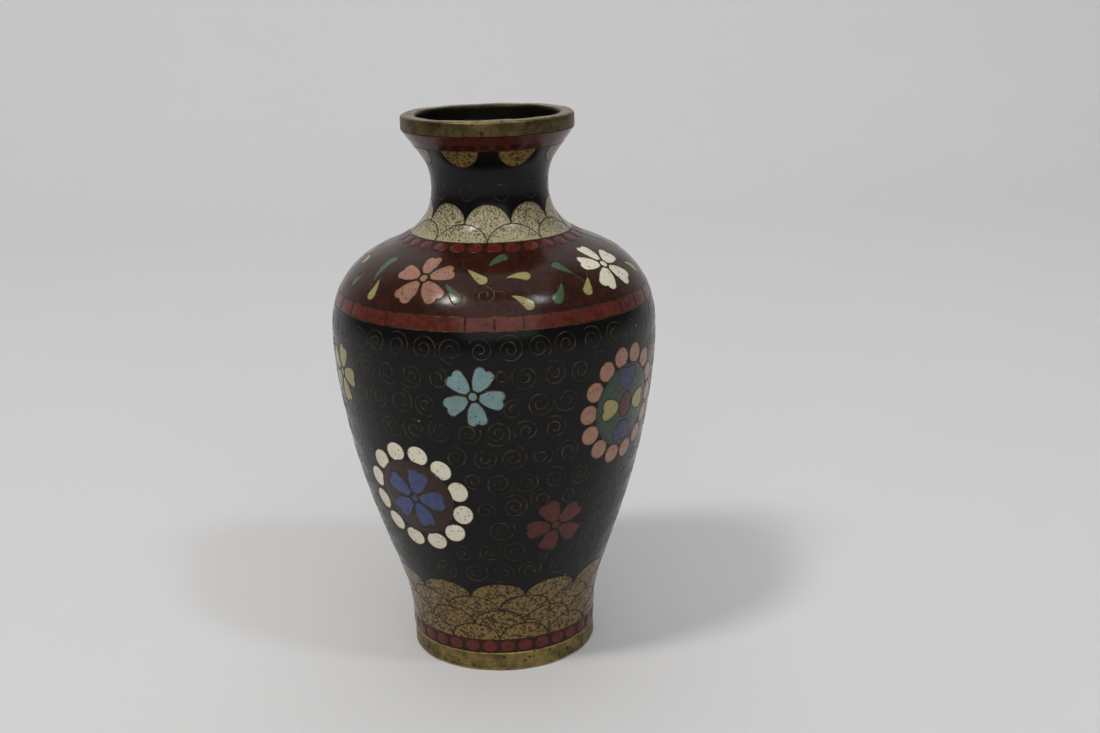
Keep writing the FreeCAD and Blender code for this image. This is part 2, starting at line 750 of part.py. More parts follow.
def body_pieces():
    """Black body with medallions, flowers and the foot's scales."""
    taken = []
    scales, scale_wires = foot_scale_rows(taken, limit(BEAD_MARK, BAND_BOTTOM_MARK))
    pieces = medallion_pieces(taken)
    turquoise = lay(flowers(*TURQUOISE_FLOWER, BODY_FLOWER_R, TURQUOISE_TWIST), taken)
    red = lay(flowers(*RED_FLOWER, BODY_FLOWER_R, RED_TWIST), taken)
    yellow = lay(flowers(*YELLOW_FLOWER, BODY_FLOWER_R, YELLOW_TWIST), taken)
    pieces.update({
        "foot_scales_ochre": wrap_all(scales),
        "foot_scale_wires": wrap_all(scale_wires),
        "body_flowers_turquoise": wrap_all(turquoise[0]),
        "body_flowers_red": wrap_all(red[0]),
        "body_flowers_yellow": wrap_all(yellow[0]),
        "body_flower_wires": wrap_all(turquoise[1] + red[1] + yellow[1]),
        "body_enamel_black": wrap_all(ground(BEAD_MARK, BAND_BOTTOM_MARK, taken))})
    return pieces


def foot_pieces():
    """The row of beads above the foot ring, on a dark red ground."""
    taken = []
    beads = lay(bead_row(FOOT_BEADS, BEAD_MARK / 2), taken)
    return {
        "foot_beads_red": wrap_all(beads[0]),
        "foot_bead_wires": wrap_all(beads[1]),
        "foot_enamel_dark_red": wrap_all(ground(MARKS[0], BEAD_MARK, taken))}


def metal_pieces():
    makers = (copper_body, foot_ring, rim_ring, base_plate, base_enamel, lining)
    return {maker.__name__: [maker()] for maker in makers}


def main():
    os.makedirs("parts", exist_ok=True)
    for group in (metal_pieces, lip_pieces, neck_pieces, shoulder_pieces, band_pieces, body_pieces,
                  foot_pieces):
        for name, solids in group().items():
            shape = solids[0] if len(solids) == 1 else Part.makeCompound(solids)
            shape.exportStep(f"parts/{name}.step")
            print(f"{name}: {len(solids)} solids, {shape.Volume:.1f} mm3")


main()
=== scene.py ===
"""Cloisonne vase: glass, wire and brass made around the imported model's frame.

Shapes are worked in millimetres, and meshes are in metres. A figure is drawn flat, with x
around the vase and y up its wall, and geometry nodes wrap it on the wall. A mark is a
distance in mm along the wall's outline, from the foot ring up. An azimuth of 0 faces -Y and
grows towards +X.
"""
import math

import bmesh
import bpy
import numpy as np
from bpy.props import FloatProperty, FloatVectorProperty, IntProperty, PointerProperty
from mathutils import Matrix, Vector


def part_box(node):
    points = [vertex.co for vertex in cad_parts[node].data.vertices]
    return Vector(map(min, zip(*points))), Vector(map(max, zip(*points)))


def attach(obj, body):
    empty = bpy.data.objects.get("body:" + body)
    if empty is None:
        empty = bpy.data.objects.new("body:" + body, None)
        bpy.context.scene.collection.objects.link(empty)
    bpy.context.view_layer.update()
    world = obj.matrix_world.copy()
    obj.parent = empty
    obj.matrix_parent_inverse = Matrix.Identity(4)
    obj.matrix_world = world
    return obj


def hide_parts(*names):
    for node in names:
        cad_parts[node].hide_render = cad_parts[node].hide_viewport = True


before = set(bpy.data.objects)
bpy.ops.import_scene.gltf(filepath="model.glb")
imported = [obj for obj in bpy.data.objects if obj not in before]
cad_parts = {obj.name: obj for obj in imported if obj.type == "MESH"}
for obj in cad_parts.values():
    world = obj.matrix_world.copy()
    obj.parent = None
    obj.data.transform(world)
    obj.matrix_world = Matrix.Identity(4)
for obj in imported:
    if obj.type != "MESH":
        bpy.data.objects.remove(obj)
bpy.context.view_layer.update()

bl_info = {
    "name": "Cloisonne Vase",
    "version": (1, 0, 0),
    "blender": (4, 5, 0),
    "location": "View3D > Sidebar > Vase",
    "description": "Makes the glass, wires and brass of a cloisonne vase around its frame",
    "category": "Object",
}

MM = 0.001
FULL_TURN = 360.0
HALF_TURN = 180.0


# ---------------------------------------------------------------- sizes read from the frame

def top_of(node):
    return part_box(node)[1].z / MM


def radius_of(node):
    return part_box(node)[1].x / MM


HEIGHT = top_of("rim_ring")
FOOT_TOP = top_of("foot_ring")
FOOT_R = radius_of("foot_ring") + 0.05
BELLY_R = radius_of("body_enamel_black")
RIM_R = radius_of("rim_ring")
RIM_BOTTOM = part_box("rim_ring")[0].z / MM

NECK_R = 9.4
ENAMEL_T = 0.6
COPPER_T = 0.9
WIRE_T = 0.2
SOCKET = 1.2
SOLDER_GAP = 0.03
FOOT_RING_BORE_R = 13.2
FOOT_ROUND = 0.6
RIM_BORE_R = 11.45
RIM_ROUND = 0.55
EDGE_STEP = 0.05

# Levels, in percent of the height
LIP_LEVEL = 94.8
NECK_DOT_LEVEL = 87.1
COLLAR_UPPER_LEVEL = 85.1
COLLAR_LOWER_LEVEL = 81.8
COLLAR_LEVEL = 79.2
SHOULDER_FLOWER_LEVEL = 74.7
VINE_LEVEL = 72.6
BAND_TOP_LEVEL = 69.55
BAND_BOTTOM_LEVEL = 67.05
FOOT_SCALE_LEVEL = 18.4
BEAD_LEVEL = 6.35

# Numbers of pieces around
LIP_DROPS = 8
NECK_RINGS = 11
COLLAR_SCALES = 9
COLLAR_BEADS = 30
BAND_TILES = 36
FOOT_SCALES = 12
FOOT_SCALE_ROWS = 4
FOOT_BEADS = 33
WHITE_MEDALLION_PETALS = 12
PINK_MEDALLION_PETALS = 14
FLOWER_PETALS = 5

# Sizes of the figures
LIP_DROP_R = 3.1
NECK_RING_R = 1.15
COLLAR_SCALE_RISE = 3.1
FOOT_SCALE_RISE = 2.75
BEAD_R = 0.93
BEAD_GAP = 0.1
SHOULDER_FLOWER_R = 4.9
BODY_FLOWER_R = 4.7
FLOWER_PETAL_W = 2.9
FLOWER_EYE_R = 0.6
PETAL_ROOT_R = FLOWER_EYE_R + 2.2 * WIRE_T
LEAF_HEAD_R = 0.8
LEAF_BEND = 0.7
VINE_R = 1.9
MEDALLION_R = 10.0
MEDALLION_DISC_R = 6.7
MEDALLION_PETAL_W = 3.5
BLUE_PETAL_R = 5.3
BLUE_PETAL_W = 3.2
HEART_W = 3.0
HEART_H = 4.2
LOBE_ROOT_R = 2.0
LOBE_R = 5.4
LOBE_W = 3.4
CAP_ROOT_R = 2.8
CAP_R = 6.1
CAP_W = 4.6
SCROLL_R = 2.2
SCROLL_PITCH = 4.4
SCROLL_SHIFT = 0.12
FULL_SCROLL = 0.82
FILLER_SCROLLS = (1.9, 1.5, 1.1)
FILLER_STEP = 0.8
FLOWER_SLACK = 0.6
UPRIGHT_POINTS = 9
STEM_LENGTH = 2.6
STEM_BOW = 1.3
SCROLL_TURNS = 1.9
SCROLL_EYE_R = 0.35
SCROLL_GAP = 0.12

# Where rows start around the vase, and how flowers are turned, in degrees
LIP_DROP_START = -23.0
NECK_DOT_START = -22.0
COLLAR_LOWER_START = 17.0
COLLAR_UPPER_START = -3.0
BEAD_START = 1.5
FOOT_SCALE_START = -3.0
PINK_FLOWER, PINK_FLOWER_TWIST = -30.0, -5.0
WHITE_FLOWER, WHITE_FLOWER_TWIST = 55.8, 0.0
VINE, VINE_TWIST = -3.2, 40.0
BLUE_FLOWER_TWIST = 18.0
TURQUOISE_TWIST = 28.0
RED_TWIST = 50.0
YELLOW_TWIST = 20.0

# How the figures lie in layers, in mm above the ground glass
LAYER = 0.008
LINE_STEP = 0.12
PANE_SINK = 0.12
RIM_BURN = 0.16
RING_STEP = 0.45
SHEET_R = 20.0
POINT_STEP = 0.22


# ---------------------------------------------------------------- the wall's outline

def level(percent):
    """Height of a level given in percent of the whole height."""
    return HEIGHT * percent / 100.0


def between(low, high, share):
    return low + (high - low) * share


def outline_stations():
    """Radius and height of the outer surface, from the foot ring's top to the rim."""
    body = [(10.0, 0.028), (17.8, 0.211), (33.3, 0.633), (48.9, 0.908), (60.6, 1.0)]
    shoulder = [(66.7, 0.968), (71.7, 0.838), (75.6, 0.600), (78.9, 0.236), (81.7, 0.079),
                (87.2, 0.0)]
    lip = [(92.2, 0.242), (95.0, 0.638)]
    stations = [(FOOT_R - EDGE_STEP, FOOT_TOP)]
    stations += [(between(FOOT_R, BELLY_R, share), level(p)) for p, share in body]
    stations += [(between(NECK_R, BELLY_R, share), level(p)) for p, share in shoulder]
    stations += [(between(NECK_R, RIM_R, share), level(p)) for p, share in lip]
    stations.append((RIM_R - 2 * EDGE_STEP, RIM_BOTTOM))
    return np.array(stations)


def smooth_slopes(marks, points):
    """Slopes at the marks of the smooth line that leaves the foot upright and flares at the rim."""
    count = len(marks)
    steps = np.diff(marks)
    rises = np.diff(points, axis=0) / steps[:, None]
    matrix, right = np.zeros((count, count)), np.zeros((count, 2))
    matrix[0, 0] = matrix[-1, -1] = 1.0
    right[0] = (0.0, 1.0)
    right[-1] = rises[-1] / np.linalg.norm(rises[-1])
    for i in range(1, count - 1):
        matrix[i, i - 1:i + 2] = steps[i], 2 * (steps[i - 1] + steps[i]), steps[i - 1]
        right[i] = 3 * (steps[i] * rises[i - 1] + steps[i - 1] * rises[i])
    return np.linalg.solve(matrix, right)


STATIONS = outline_stations()
MARKS = np.concatenate([[0.0], np.cumsum(np.linalg.norm(np.diff(STATIONS, axis=0), axis=1))])
SLOPES = smooth_slopes(MARKS, STATIONS)


def wall_points(marks):
    """Radius and height of the outer surface at each mark."""
    marks = np.atleast_1d(np.asarray(marks, float))
    i = np.clip(np.searchsorted(MARKS, marks) - 1, 0, len(MARKS) - 2)
    step = (MARKS[i + 1] - MARKS[i])[:, None]
    t = (marks - MARKS[i])[:, None] / step
    start = (2 * t**3 - 3 * t**2 + 1) * STATIONS[i] + (t**3 - 2 * t**2 + t) * step * SLOPES[i]
    end = (3 * t**2 - 2 * t**3) * STATIONS[i + 1] + (t**3 - t**2) * step * SLOPES[i + 1]
    return start + end


def inside_wall(marks, depth):
    """Radius and height of points a depth inside the outer surface."""
    ahead, behind = wall_points(np.asarray(marks) + EDGE_STEP), wall_points(np.asarray(marks) - EDGE_STEP)
    tangent = (ahead - behind) / np.linalg.norm(ahead - behind, axis=1)[:, None]
    return wall_points(marks) + depth * np.stack([-tangent[:, 1], tangent[:, 0]], axis=1)


def wall_radius(mark):
    return float(wall_points(mark)[0, 0])


def mark_at(z):
    """How far along the outline a height is reached. The outline climbs all the way."""
    fine = np.linspace(0, MARKS[-1], 4000)
    return float(np.interp(z, wall_points(fine)[:, 1], fine))


LIP_MARK = mark_at(level(LIP_LEVEL))
COLLAR_MARK = mark_at(level(COLLAR_LEVEL))
BAND_TOP_MARK = mark_at(level(BAND_TOP_LEVEL))
BAND_BOTTOM_MARK = mark_at(level(BAND_BOTTOM_LEVEL))
BEAD_MARK = mark_at(level(BEAD_LEVEL))


# ---------------------------------------------------------------- flat outlines of the figures

def arc(start, middle, end):
    """Points of the arc through three points, without its last point."""
    (ax, ay), (bx, by), (cx, cy) = start, middle, end
    d = 2 * (ax * (by - cy) + bx * (cy - ay) + cx * (ay - by))
    a2, b2, c2 = ax * ax + ay * ay, bx * bx + by * by, cx * cx + cy * cy
    centre = np.array([(a2 * (by - cy) + b2 * (cy - ay) + c2 * (ay - by)) / d,
                       (a2 * (cx - bx) + b2 * (ax - cx) + c2 * (bx - ax)) / d])
    first, half, last = (math.atan2(*(np.array(p) - centre)[::-1]) for p in (start, middle, end))
    turn = (last - first) % (2 * math.pi)
    if (half - first) % (2 * math.pi) > turn:
        turn -= 2 * math.pi
    radius = np.linalg.norm(np.array(start) - centre)
    count = max(3, round(abs(turn) * radius / POINT_STEP))
    angles = first + turn * np.arange(count) / count
    return [tuple(centre + radius * np.array([math.cos(a), math.sin(a)])) for a in angles]


def oval(half_width, half_height):
    count = max(14, 2 * round(math.pi * (half_width + half_height) / POINT_STEP / 2))
    angles = 2 * math.pi * np.arange(count) / count
    return np.stack([half_width * np.cos(angles), half_height * np.sin(angles)], axis=1)


def disc(radius):
    return oval(radius, radius)


def petal(inner_r, outer_r, width):
    """A petal that widens outwards along y and ends in two lobes."""
    length = outer_r - inner_r
    root = (0.14 * width, inner_r)
    flank = (0.40 * width, inner_r + 0.33 * length)
    cheek = (0.50 * width, inner_r + 0.70 * length)
    lobe = (0.30 * width, outer_r)
    cleft = (0.0, outer_r - 0.10 * length)

    def mirror(point):
        return -point[0], point[1]

    points = arc(root, flank, cheek) + arc(cheek, lobe, cleft)
    points += arc(cleft, mirror(lobe), mirror(cheek)) + arc(mirror(cheek), mirror(flank), mirror(root))
    return np.array(points + [mirror(root)])


def leaf(length, head_r, bend):
    """A comma leaf: a round head at the origin and a tail that curls down to its tip."""
    tail = length - head_r
    tip, left, right = (bend, -tail), (-head_r, 0.0), (head_r, 0.0)
    back = (-0.75 * head_r + 0.25 * bend, -0.45 * tail)
    belly = (0.50 * head_r + 0.25 * bend, -0.45 * tail)
    clockwise = arc(tip, back, left) + arc(left, (0.0, head_r), right) + arc(right, belly, tip)
    return np.array(clockwise[::-1])


def slab(width, height):
    x, y = width / 2, height / 2
    return np.array([(-x, -y), (x, -y), (x, y), (-x, y)])


def scroll(outer_r, hand):
    """The middle line of a wire wound into a spiral."""
    share = np.linspace(0, 1, 32)
    angle = 2 * math.pi * SCROLL_TURNS * outer_r / SCROLL_R * share
    radius = between(SCROLL_EYE_R, outer_r, share)
    return np.stack([hand * radius * np.cos(angle), radius * np.sin(angle)], axis=1)


def dense(loop):
    """A closed outline with more points on its long straight edges, so that it bends with the wall."""
    points = []
    for a, b in zip(loop, np.roll(loop, -1, axis=0)):
        steps = max(1, math.ceil(np.linalg.norm(b - a) / (2 * POINT_STEP)))
        points += [a + (b - a) * i / steps for i in range(steps)]
    return np.array(points)


def grown(loop, distance):
    """A closed outline moved outwards, without the crossings that a cleft would leave."""
    ahead, behind = np.roll(loop, -1, axis=0) - loop, loop - np.roll(loop, 1, axis=0)

    def outward(vectors):
        side = np.stack([vectors[:, 1], -vectors[:, 0]], axis=1)
        return side / np.linalg.norm(side, axis=1)[:, None]

    bisector = outward(ahead) + outward(behind)
    stretch = 2 * distance / np.maximum(np.sum(bisector**2, axis=1), 1.0)
    moved = loop + bisector * stretch[:, None]
    forward = np.sum((np.roll(moved, -1, axis=0) - moved) * ahead, axis=1) > 0
    return moved[forward & np.roll(forward, 1)]


def cut_level(loop, lowest=-1e9, highest=1e9):
    """The part of a closed outline between two levels of y."""
    for limit, way in ((lowest, 1), (highest, -1)):
        kept = []
        for a, b in zip(loop, np.roll(loop, -1, axis=0)):
            a_in, b_in = way * (a[1] - limit) >= 0, way * (b[1] - limit) >= 0
            if a_in:
                kept.append(a)
            if a_in != b_in:
                kept.append(a + (b - a) * (limit - a[1]) / (b[1] - a[1]))
        loop = np.array(kept)
    return loop


# ---------------------------------------------------------------- laying figures on the wall

class Spot:
    """Where a figure lies: its outline, place, turn clockwise in degrees, and layer."""

    def __init__(self, loop, azimuth, mark, twist=0.0, layer=0):
        self.loop, self.azimuth, self.mark, self.twist, self.layer = loop, azimuth, mark, twist, layer

    def widening(self):
        """How much wider the figure is on the sheet, so that it wraps to size."""
        return SHEET_R / wall_radius(self.mark)

    def on_sheet(self, points):
        """Points of the figure, turned, widened and moved to their place on the sheet."""
        a = math.radians(-self.twist)
        x = points[:, 0] * math.cos(a) - points[:, 1] * math.sin(a)
        y = points[:, 0] * math.sin(a) + points[:, 1] * math.cos(a)
        return np.stack([math.radians(self.azimuth) * SHEET_R + x * self.widening(), y + self.mark], axis=1)


def inside(points, loop):
    """Which of the points lie inside a closed outline."""
    a, b = loop[None, :, :], np.roll(loop, -1, axis=0)[None, :, :]
    p = points[:, None, :]
    straddles = (a[..., 1] > p[..., 1]) != (b[..., 1] > p[..., 1])
    rise = np.where(straddles, b[..., 1] - a[..., 1], 1.0)
    crossing = a[..., 0] + (p[..., 1] - a[..., 1]) * (b[..., 0] - a[..., 0]) / rise
    return np.sum(straddles & (p[..., 0] < crossing), axis=1) % 2 == 1


def wire_runs(spots, lowest=-1e9, highest=1e9):
    """The middle lines of the wires around figures, hidden where an earlier figure lies in front."""
    runs, taken = [], []
    turn = 2 * math.pi * SHEET_R
    for spot in spots:
        line = spot.on_sheet(grown(spot.loop, WIRE_T / 2))
        hidden = (line[:, 1] < lowest) | (line[:, 1] > highest)
        for front in taken:
            for way in (-turn, 0.0, turn):
                moved = front + (way, 0.0)
                if np.all(moved.min(0) < line.max(0)) and np.all(moved.max(0) > line.min(0)):
                    hidden |= inside(line, moved)
        taken.append(spot.on_sheet(grown(spot.loop, WIRE_T)))
        runs += [(run, spot.layer) for run in shown_runs(line, hidden)]
    return runs


def shown_runs(line, hidden):
    """A closed line's stretches that show, each with one point more at both ends."""
    if not hidden.any():
        return [np.vstack([line, line[:1]])]
    if hidden.all():
        return []
    first = int(np.argmax(hidden))
    line, hidden = np.roll(line, -first, axis=0), np.roll(hidden, -first)
    line, hidden = np.vstack([line, line[:1]]), np.append(hidden, True)
    runs, start = [], None
    for i, is_hidden in enumerate(hidden):
        if not is_hidden and start is None:
            start = i - 1
        if is_hidden and start is not None:
            runs.append(line[start:i + 1])
            start = None
    return runs


def open_runs(line, spots):
    """An open line's stretches that show between figures on the shoulder."""
    hidden = (line[:, 1] < BAND_TOP_MARK) | (line[:, 1] > COLLAR_MARK - 2 * BEAD_R - 2 * WIRE_T)
    for spot in spots:
        hidden |= inside(line, spot.on_sheet(grown(spot.loop, WIRE_T)))
    breaks = np.flatnonzero(np.diff(hidden.astype(int))) + 1
    return [(run, 0) for run, covered in zip(np.split(line, breaks), np.split(hidden, breaks))
            if not covered[0] and len(run) > 2]


def spread(count, offset=0.0):
    """Azimuths of a ring of equal pieces."""
    return [(offset + i * FULL_TURN / count + HALF_TURN) % FULL_TURN - HALF_TURN for i in range(count)]


def both_sides(azimuth):
    """An azimuth at the front and its twin at the back."""
    return [azimuth, azimuth - math.copysign(HALF_TURN, azimuth)]


def half_pitch(mark, count):
    """Half the room that each of a ring of pieces has along the wall."""
    return math.pi * wall_radius(mark) / count


def scale_row(count, mark, rise, offset, layer, lowest=-1e9):
    """A row of scales whose wires meet at their widest: their spots, whole and cut for the glass."""
    whole = oval(half_pitch(mark, count) - 0.55 * WIRE_T, rise)
    glass = cut_level(grown(whole, WIRE_T / 2), lowest - mark)
    azimuths = spread(count, offset)
    return ([Spot(whole, azimuth, mark, 0, layer) for azimuth in azimuths],
            [Spot(glass, azimuth, mark, 0, layer) for azimuth in azimuths])


def bead_row(count, mark):
    half_width = half_pitch(mark, count) - WIRE_T - BEAD_GAP
    return [Spot(oval(half_width, BEAD_R), azimuth, mark) for azimuth in spread(count, BEAD_START)]


def flower_spots(azimuth, percent, outer_r, twist, width=FLOWER_PETAL_W, layer=0):
    """Five petals and a round eye, at the front and at the back: petals, then eyes."""
    mark = mark_at(level(percent))
    shape, eye = petal(PETAL_ROOT_R, outer_r, width), disc(FLOWER_EYE_R)
    turns = [twist + FULL_TURN * i / FLOWER_PETALS for i in range(FLOWER_PETALS)]
    sides = both_sides(azimuth)
    return ([Spot(shape, side, mark, turn, layer) for side in sides for turn in turns],
            [Spot(eye, side, mark, 0, layer) for side in sides])


GREEN_LEAVES = [((-2.7, 76.7), (7.9, 77.5), 1), ((-20.2, 73.7), (-12.2, 71.7), -1),
                ((36.1, 74.8), (28.4, 76.1), -1), ((28.7, 73.1), (22.2, 70.9), 1),
                ((-64.7, 73.6), (-69.7, 71.7), 1), ((-57.0, 73.2), (-56.0, 76.6), 1)]
YELLOW_LEAVES = [((-12.5, 75.7), (-2.5, 74.4), -1), ((5.9, 75.3), (15.9, 74.9), 1),
                 ((7.7, 72.8), (13.9, 70.4), 1), ((39.3, 73.8), (36.8, 71.2), -1),
                 ((-50.5, 73.5), (-51.8, 70.6), 1), ((-83.0, 75.7), (-77.0, 74.6), 1),
                 ((73.0, 74.0), (78.0, 71.8), 1), ((85.0, 76.5), (92.0, 75.2), -1)]
WHITE_MEDALLION = (-35.5, 35.8)
PINK_MEDALLION = (51.4, 50.7)
TURQUOISE_FLOWER = (-7.9, 56.2)
RED_FLOWER = (23.4, 30.2)
YELLOW_FLOWER = (-67.8, 56.4)


def leaf_spots(places):
    """Leaves from tip to round end, each given as azimuth and percent of height."""
    spots = []
    for tip, end, bend in places:
        tip_mark, end_mark = mark_at(level(tip[1])), mark_at(level(end[1]))
        across = math.radians(end[0] - tip[0]) * wall_radius((tip_mark + end_mark) / 2)
        up = end_mark - tip_mark
        length = math.hypot(across, up)
        share = 1 - LEAF_HEAD_R / length
        azimuth, mark = between(tip[0], end[0], share), between(tip_mark, end_mark, share)
        shape = leaf(length, LEAF_HEAD_R, bend * LEAF_BEND)
        twist = math.degrees(math.atan2(across, up))
        spots += [Spot(shape, side, mark, twist) for side in both_sides(azimuth)]
    return spots


def stem_lines(leaves):
    """A thin bowed stem that leaves the tip of every comma leaf."""
    share = np.linspace(0, 1, 12)
    lines = []
    for spot in leaves:
        tip = spot.loop[np.argmin(spot.loop[:, 1])]
        bow = math.copysign(STEM_BOW, tip[0])
        stem = np.stack([tip[0] + bow * share**2, tip[1] - STEM_LENGTH * share], axis=1)
        lines.append(spot.on_sheet(stem))
    return lines


def medallion_petal_spots(azimuth, percent, count):
    """The ring of round petals outside a medallion's disc."""
    centre = mark_at(level(percent))
    half_length = (MEDALLION_R - WIRE_T - MEDALLION_DISC_R) / 2
    middle_r = MEDALLION_DISC_R + half_length
    half_width = min(MEDALLION_PETAL_W / 2, math.pi * middle_r / count - WIRE_T - BEAD_GAP)
    shape = oval(half_width, half_length)
    spots = []
    for side in both_sides(azimuth):
        for i in range(count):
            angle = FULL_TURN * (i + 0.5) / count
            mark = centre + middle_r * math.cos(math.radians(angle))
            around = math.degrees(middle_r * math.sin(math.radians(angle)) / wall_radius(mark))
            spots.append(Spot(shape, side + around, mark, angle))
    return spots


def on_medallion(place, shape, angles=(0,), layer=1):
    """A shape at a medallion's centre, turned to each of the angles, at the front and the back."""
    mark = mark_at(level(place[1]))
    return [Spot(shape, side, mark, angle, layer) for side in both_sides(place[0]) for angle in angles]


def room_among(circles, azimuth, mark):
    """How far a point of the wall is from the nearest circle, each given as azimuth, mark and radius."""
    centres, marks, radii = np.array(circles).T
    away = (azimuth - centres + HALF_TURN) % FULL_TURN - HALF_TURN
    across = np.radians(away) * wall_radius(mark)
    return float((np.hypot(across, mark - marks) - radii).min())


def body_circles():
    """The medallions and flowers of the body, as azimuth, mark and radius."""
    places = [(WHITE_MEDALLION, MEDALLION_R), (PINK_MEDALLION, MEDALLION_R)]
    flowers = (TURQUOISE_FLOWER, RED_FLOWER, YELLOW_FLOWER)
    places += [(flower, BODY_FLOWER_R - FLOWER_SLACK) for flower in flowers]
    return [(side, mark_at(level(percent)), radius)
            for (azimuth, percent), radius in places for side in both_sides(azimuth)]


def scroll_runs():
    """Spirals in staggered rows over the body, and smaller ones in the gaps that these leave."""
    floor, roof = mark_at(level(FOOT_SCALE_LEVEL)), BAND_BOTTOM_MARK
    low, high = floor + SCROLL_R + 2 * WIRE_T, roof - SCROLL_R - 2 * WIRE_T
    circles, spirals = body_circles(), []

    def try_spiral(azimuth, mark, largest, smallest):
        room = min(room_among(circles, azimuth, mark), mark - floor - WIRE_T, roof - mark - WIRE_T)
        radius = min(largest, room - SCROLL_GAP)
        if radius >= smallest:
            spirals.append((azimuth, mark, radius))
            circles.append((azimuth, mark, radius))

    rows = int((high - low) / SCROLL_PITCH) + 1
    for row in range(rows):
        mark = between(low, high, row / (rows - 1))
        count = int(2 * math.pi * wall_radius(mark) / SCROLL_PITCH)
        for i, azimuth in enumerate(spread(count, FULL_TURN * (row % 2) / (2 * count))):
            wobble = 37 * row + i
            azimuth += math.degrees(SCROLL_SHIFT / wall_radius(mark)) * math.sin(wobble * 12.9)
            size = SCROLL_R * (1 + 0.06 * math.sin(wobble * 5.1))
            try_spiral(azimuth, mark + SCROLL_SHIFT * math.sin(wobble * 7.3), size, FULL_SCROLL * SCROLL_R)
    for smallest in FILLER_SCROLLS:
        for mark in np.arange(floor, roof, FILLER_STEP):
            count = int(2 * math.pi * wall_radius(mark) / FILLER_STEP)
            for azimuth in spread(count):
                try_spiral(azimuth, mark, SCROLL_R, smallest)
    runs = []
    for number, (azimuth, mark, radius) in enumerate(spirals):
        line = scroll(radius, 1 if number % 3 else -1)
        runs.append((Spot(line, azimuth, mark, 97 * number).on_sheet(line), 0))
    return runs


# ---------------------------------------------------------------- wiring node trees

class Wiring:
    """Adds nodes to a tree. A value is either what comes out of a node or a plain value."""

    def __init__(self, tree):
        self.tree = tree

    def feed(self, socket, value):
        if isinstance(value, bpy.types.NodeSocket):
            self.tree.links.new(value, socket)
        else:
            socket.default_value = value

    def add(self, kind, inputs=None, **settings):
        node = self.tree.nodes.new(kind)
        for name, value in settings.items():
            setattr(node, name, value)
        for key, value in (inputs or {}).items():
            socket = node.inputs[key] if isinstance(key, int) else self.named(node.inputs, key)
            self.feed(socket, value)
        return node

    @staticmethod
    def named(sockets, name):
        return next(s for s in sockets if s.name == name and s.enabled)

    def math(self, operation, *values, clamp=False):
        return self.add("ShaderNodeMath", dict(enumerate(values)), operation=operation,
                        use_clamp=clamp).outputs[0]

    def vector(self, operation, *values):
        node = self.add("ShaderNodeVectorMath", dict(enumerate(values)), operation=operation)
        return self.named(node.outputs, "Vector")

    def scaled(self, vector, factor):
        node = self.add("ShaderNodeVectorMath", {0: vector, "Scale": factor}, operation="SCALE")
        return node.outputs[0]

    def split(self, vector):
        return self.add("ShaderNodeSeparateXYZ", {0: vector}).outputs

    def join(self, x, y, z):
        return self.add("ShaderNodeCombineXYZ", {0: x, 1: y, 2: z}).outputs[0]


def new_tree(name, inputs):
    """A geometry node tree with named inputs and one geometry output."""
    tree = bpy.data.node_groups.new(name, "GeometryNodeTree")
    tree.interface.new_socket("Geometry", in_out="OUTPUT", socket_type="NodeSocketGeometry")
    for label, kind in inputs:
        tree.interface.new_socket(label, in_out="INPUT", socket_type="NodeSocket" + kind)
    wiring = Wiring(tree)
    return wiring, wiring.add("NodeGroupInput").outputs


def finish_tree(wiring, geometry, material):
    """The tree's last steps: instances made real, shaded smooth and given their material."""
    real = wiring.add("GeometryNodeRealizeInstances", {"Geometry": geometry}).outputs[0]
    smooth = wiring.add("GeometryNodeSetShadeSmooth", {0: real}).outputs[0]
    final = wiring.add("GeometryNodeSetMaterial", {"Geometry": smooth, "Material": material}).outputs[0]
    wiring.add("NodeGroupOutput", {0: final})


def wrap_tree():
    """Takes flat x, y and height above the glass to their place on the vase's wall."""
    n, given = new_tree("Wrap On Wall", [("Geometry", "Geometry"), ("Wall Line", "Object")])
    flat = n.split(n.add("GeometryNodeInputPosition").outputs[0])
    line = n.add("GeometryNodeObjectInfo", {"Object": given["Wall Line"]}).outputs["Geometry"]
    place = n.math("DIVIDE", flat[1], LINE_STEP * MM)
    index = n.math("FLOOR", place)

    def sampled(at):
        node = n.add("GeometryNodeSampleIndex", data_type="FLOAT_VECTOR", domain="POINT", clamp=True)
        n.feed(n.named(node.inputs, "Geometry"), line)
        n.feed(n.named(node.inputs, "Value"), n.add("GeometryNodeInputPosition").outputs[0])
        n.feed(n.named(node.inputs, "Index"), at)
        return n.named(node.outputs, "Value")

    before, after = sampled(index), sampled(n.math("ADD", index, 1.0))
    step = n.vector("SUBTRACT", after, before)
    middle = n.vector("ADD", before, n.scaled(step, n.math("SUBTRACT", place, index)))
    tangent = n.split(n.vector("NORMALIZE", step))
    normal = n.join(tangent[2], 0.0, n.math("MULTIPLY", tangent[0], -1.0))
    raised = n.split(n.vector("ADD", middle, n.scaled(normal, flat[2])))
    azimuth = n.math("DIVIDE", flat[0], SHEET_R * MM)
    across = n.math("MULTIPLY", raised[0], n.math("SINE", azimuth))
    forward = n.math("MULTIPLY", raised[0], n.math("MULTIPLY", n.math("COSINE", azimuth), -1.0))
    wrapped = n.add("GeometryNodeSetPosition", {
        "Geometry": given["Geometry"], "Position": n.join(across, forward, raised[2])}).outputs[0]
    n.add("NodeGroupOutput", {0: wrapped})
    return n.tree


def wrapped(n, geometry, line):
    node = n.add("GeometryNodeGroup", node_tree=bpy.data.node_groups["Wrap On Wall"])
    n.feed(node.inputs["Geometry"], geometry)
    n.feed(node.inputs["Wall Line"], line)
    return node.outputs[0]


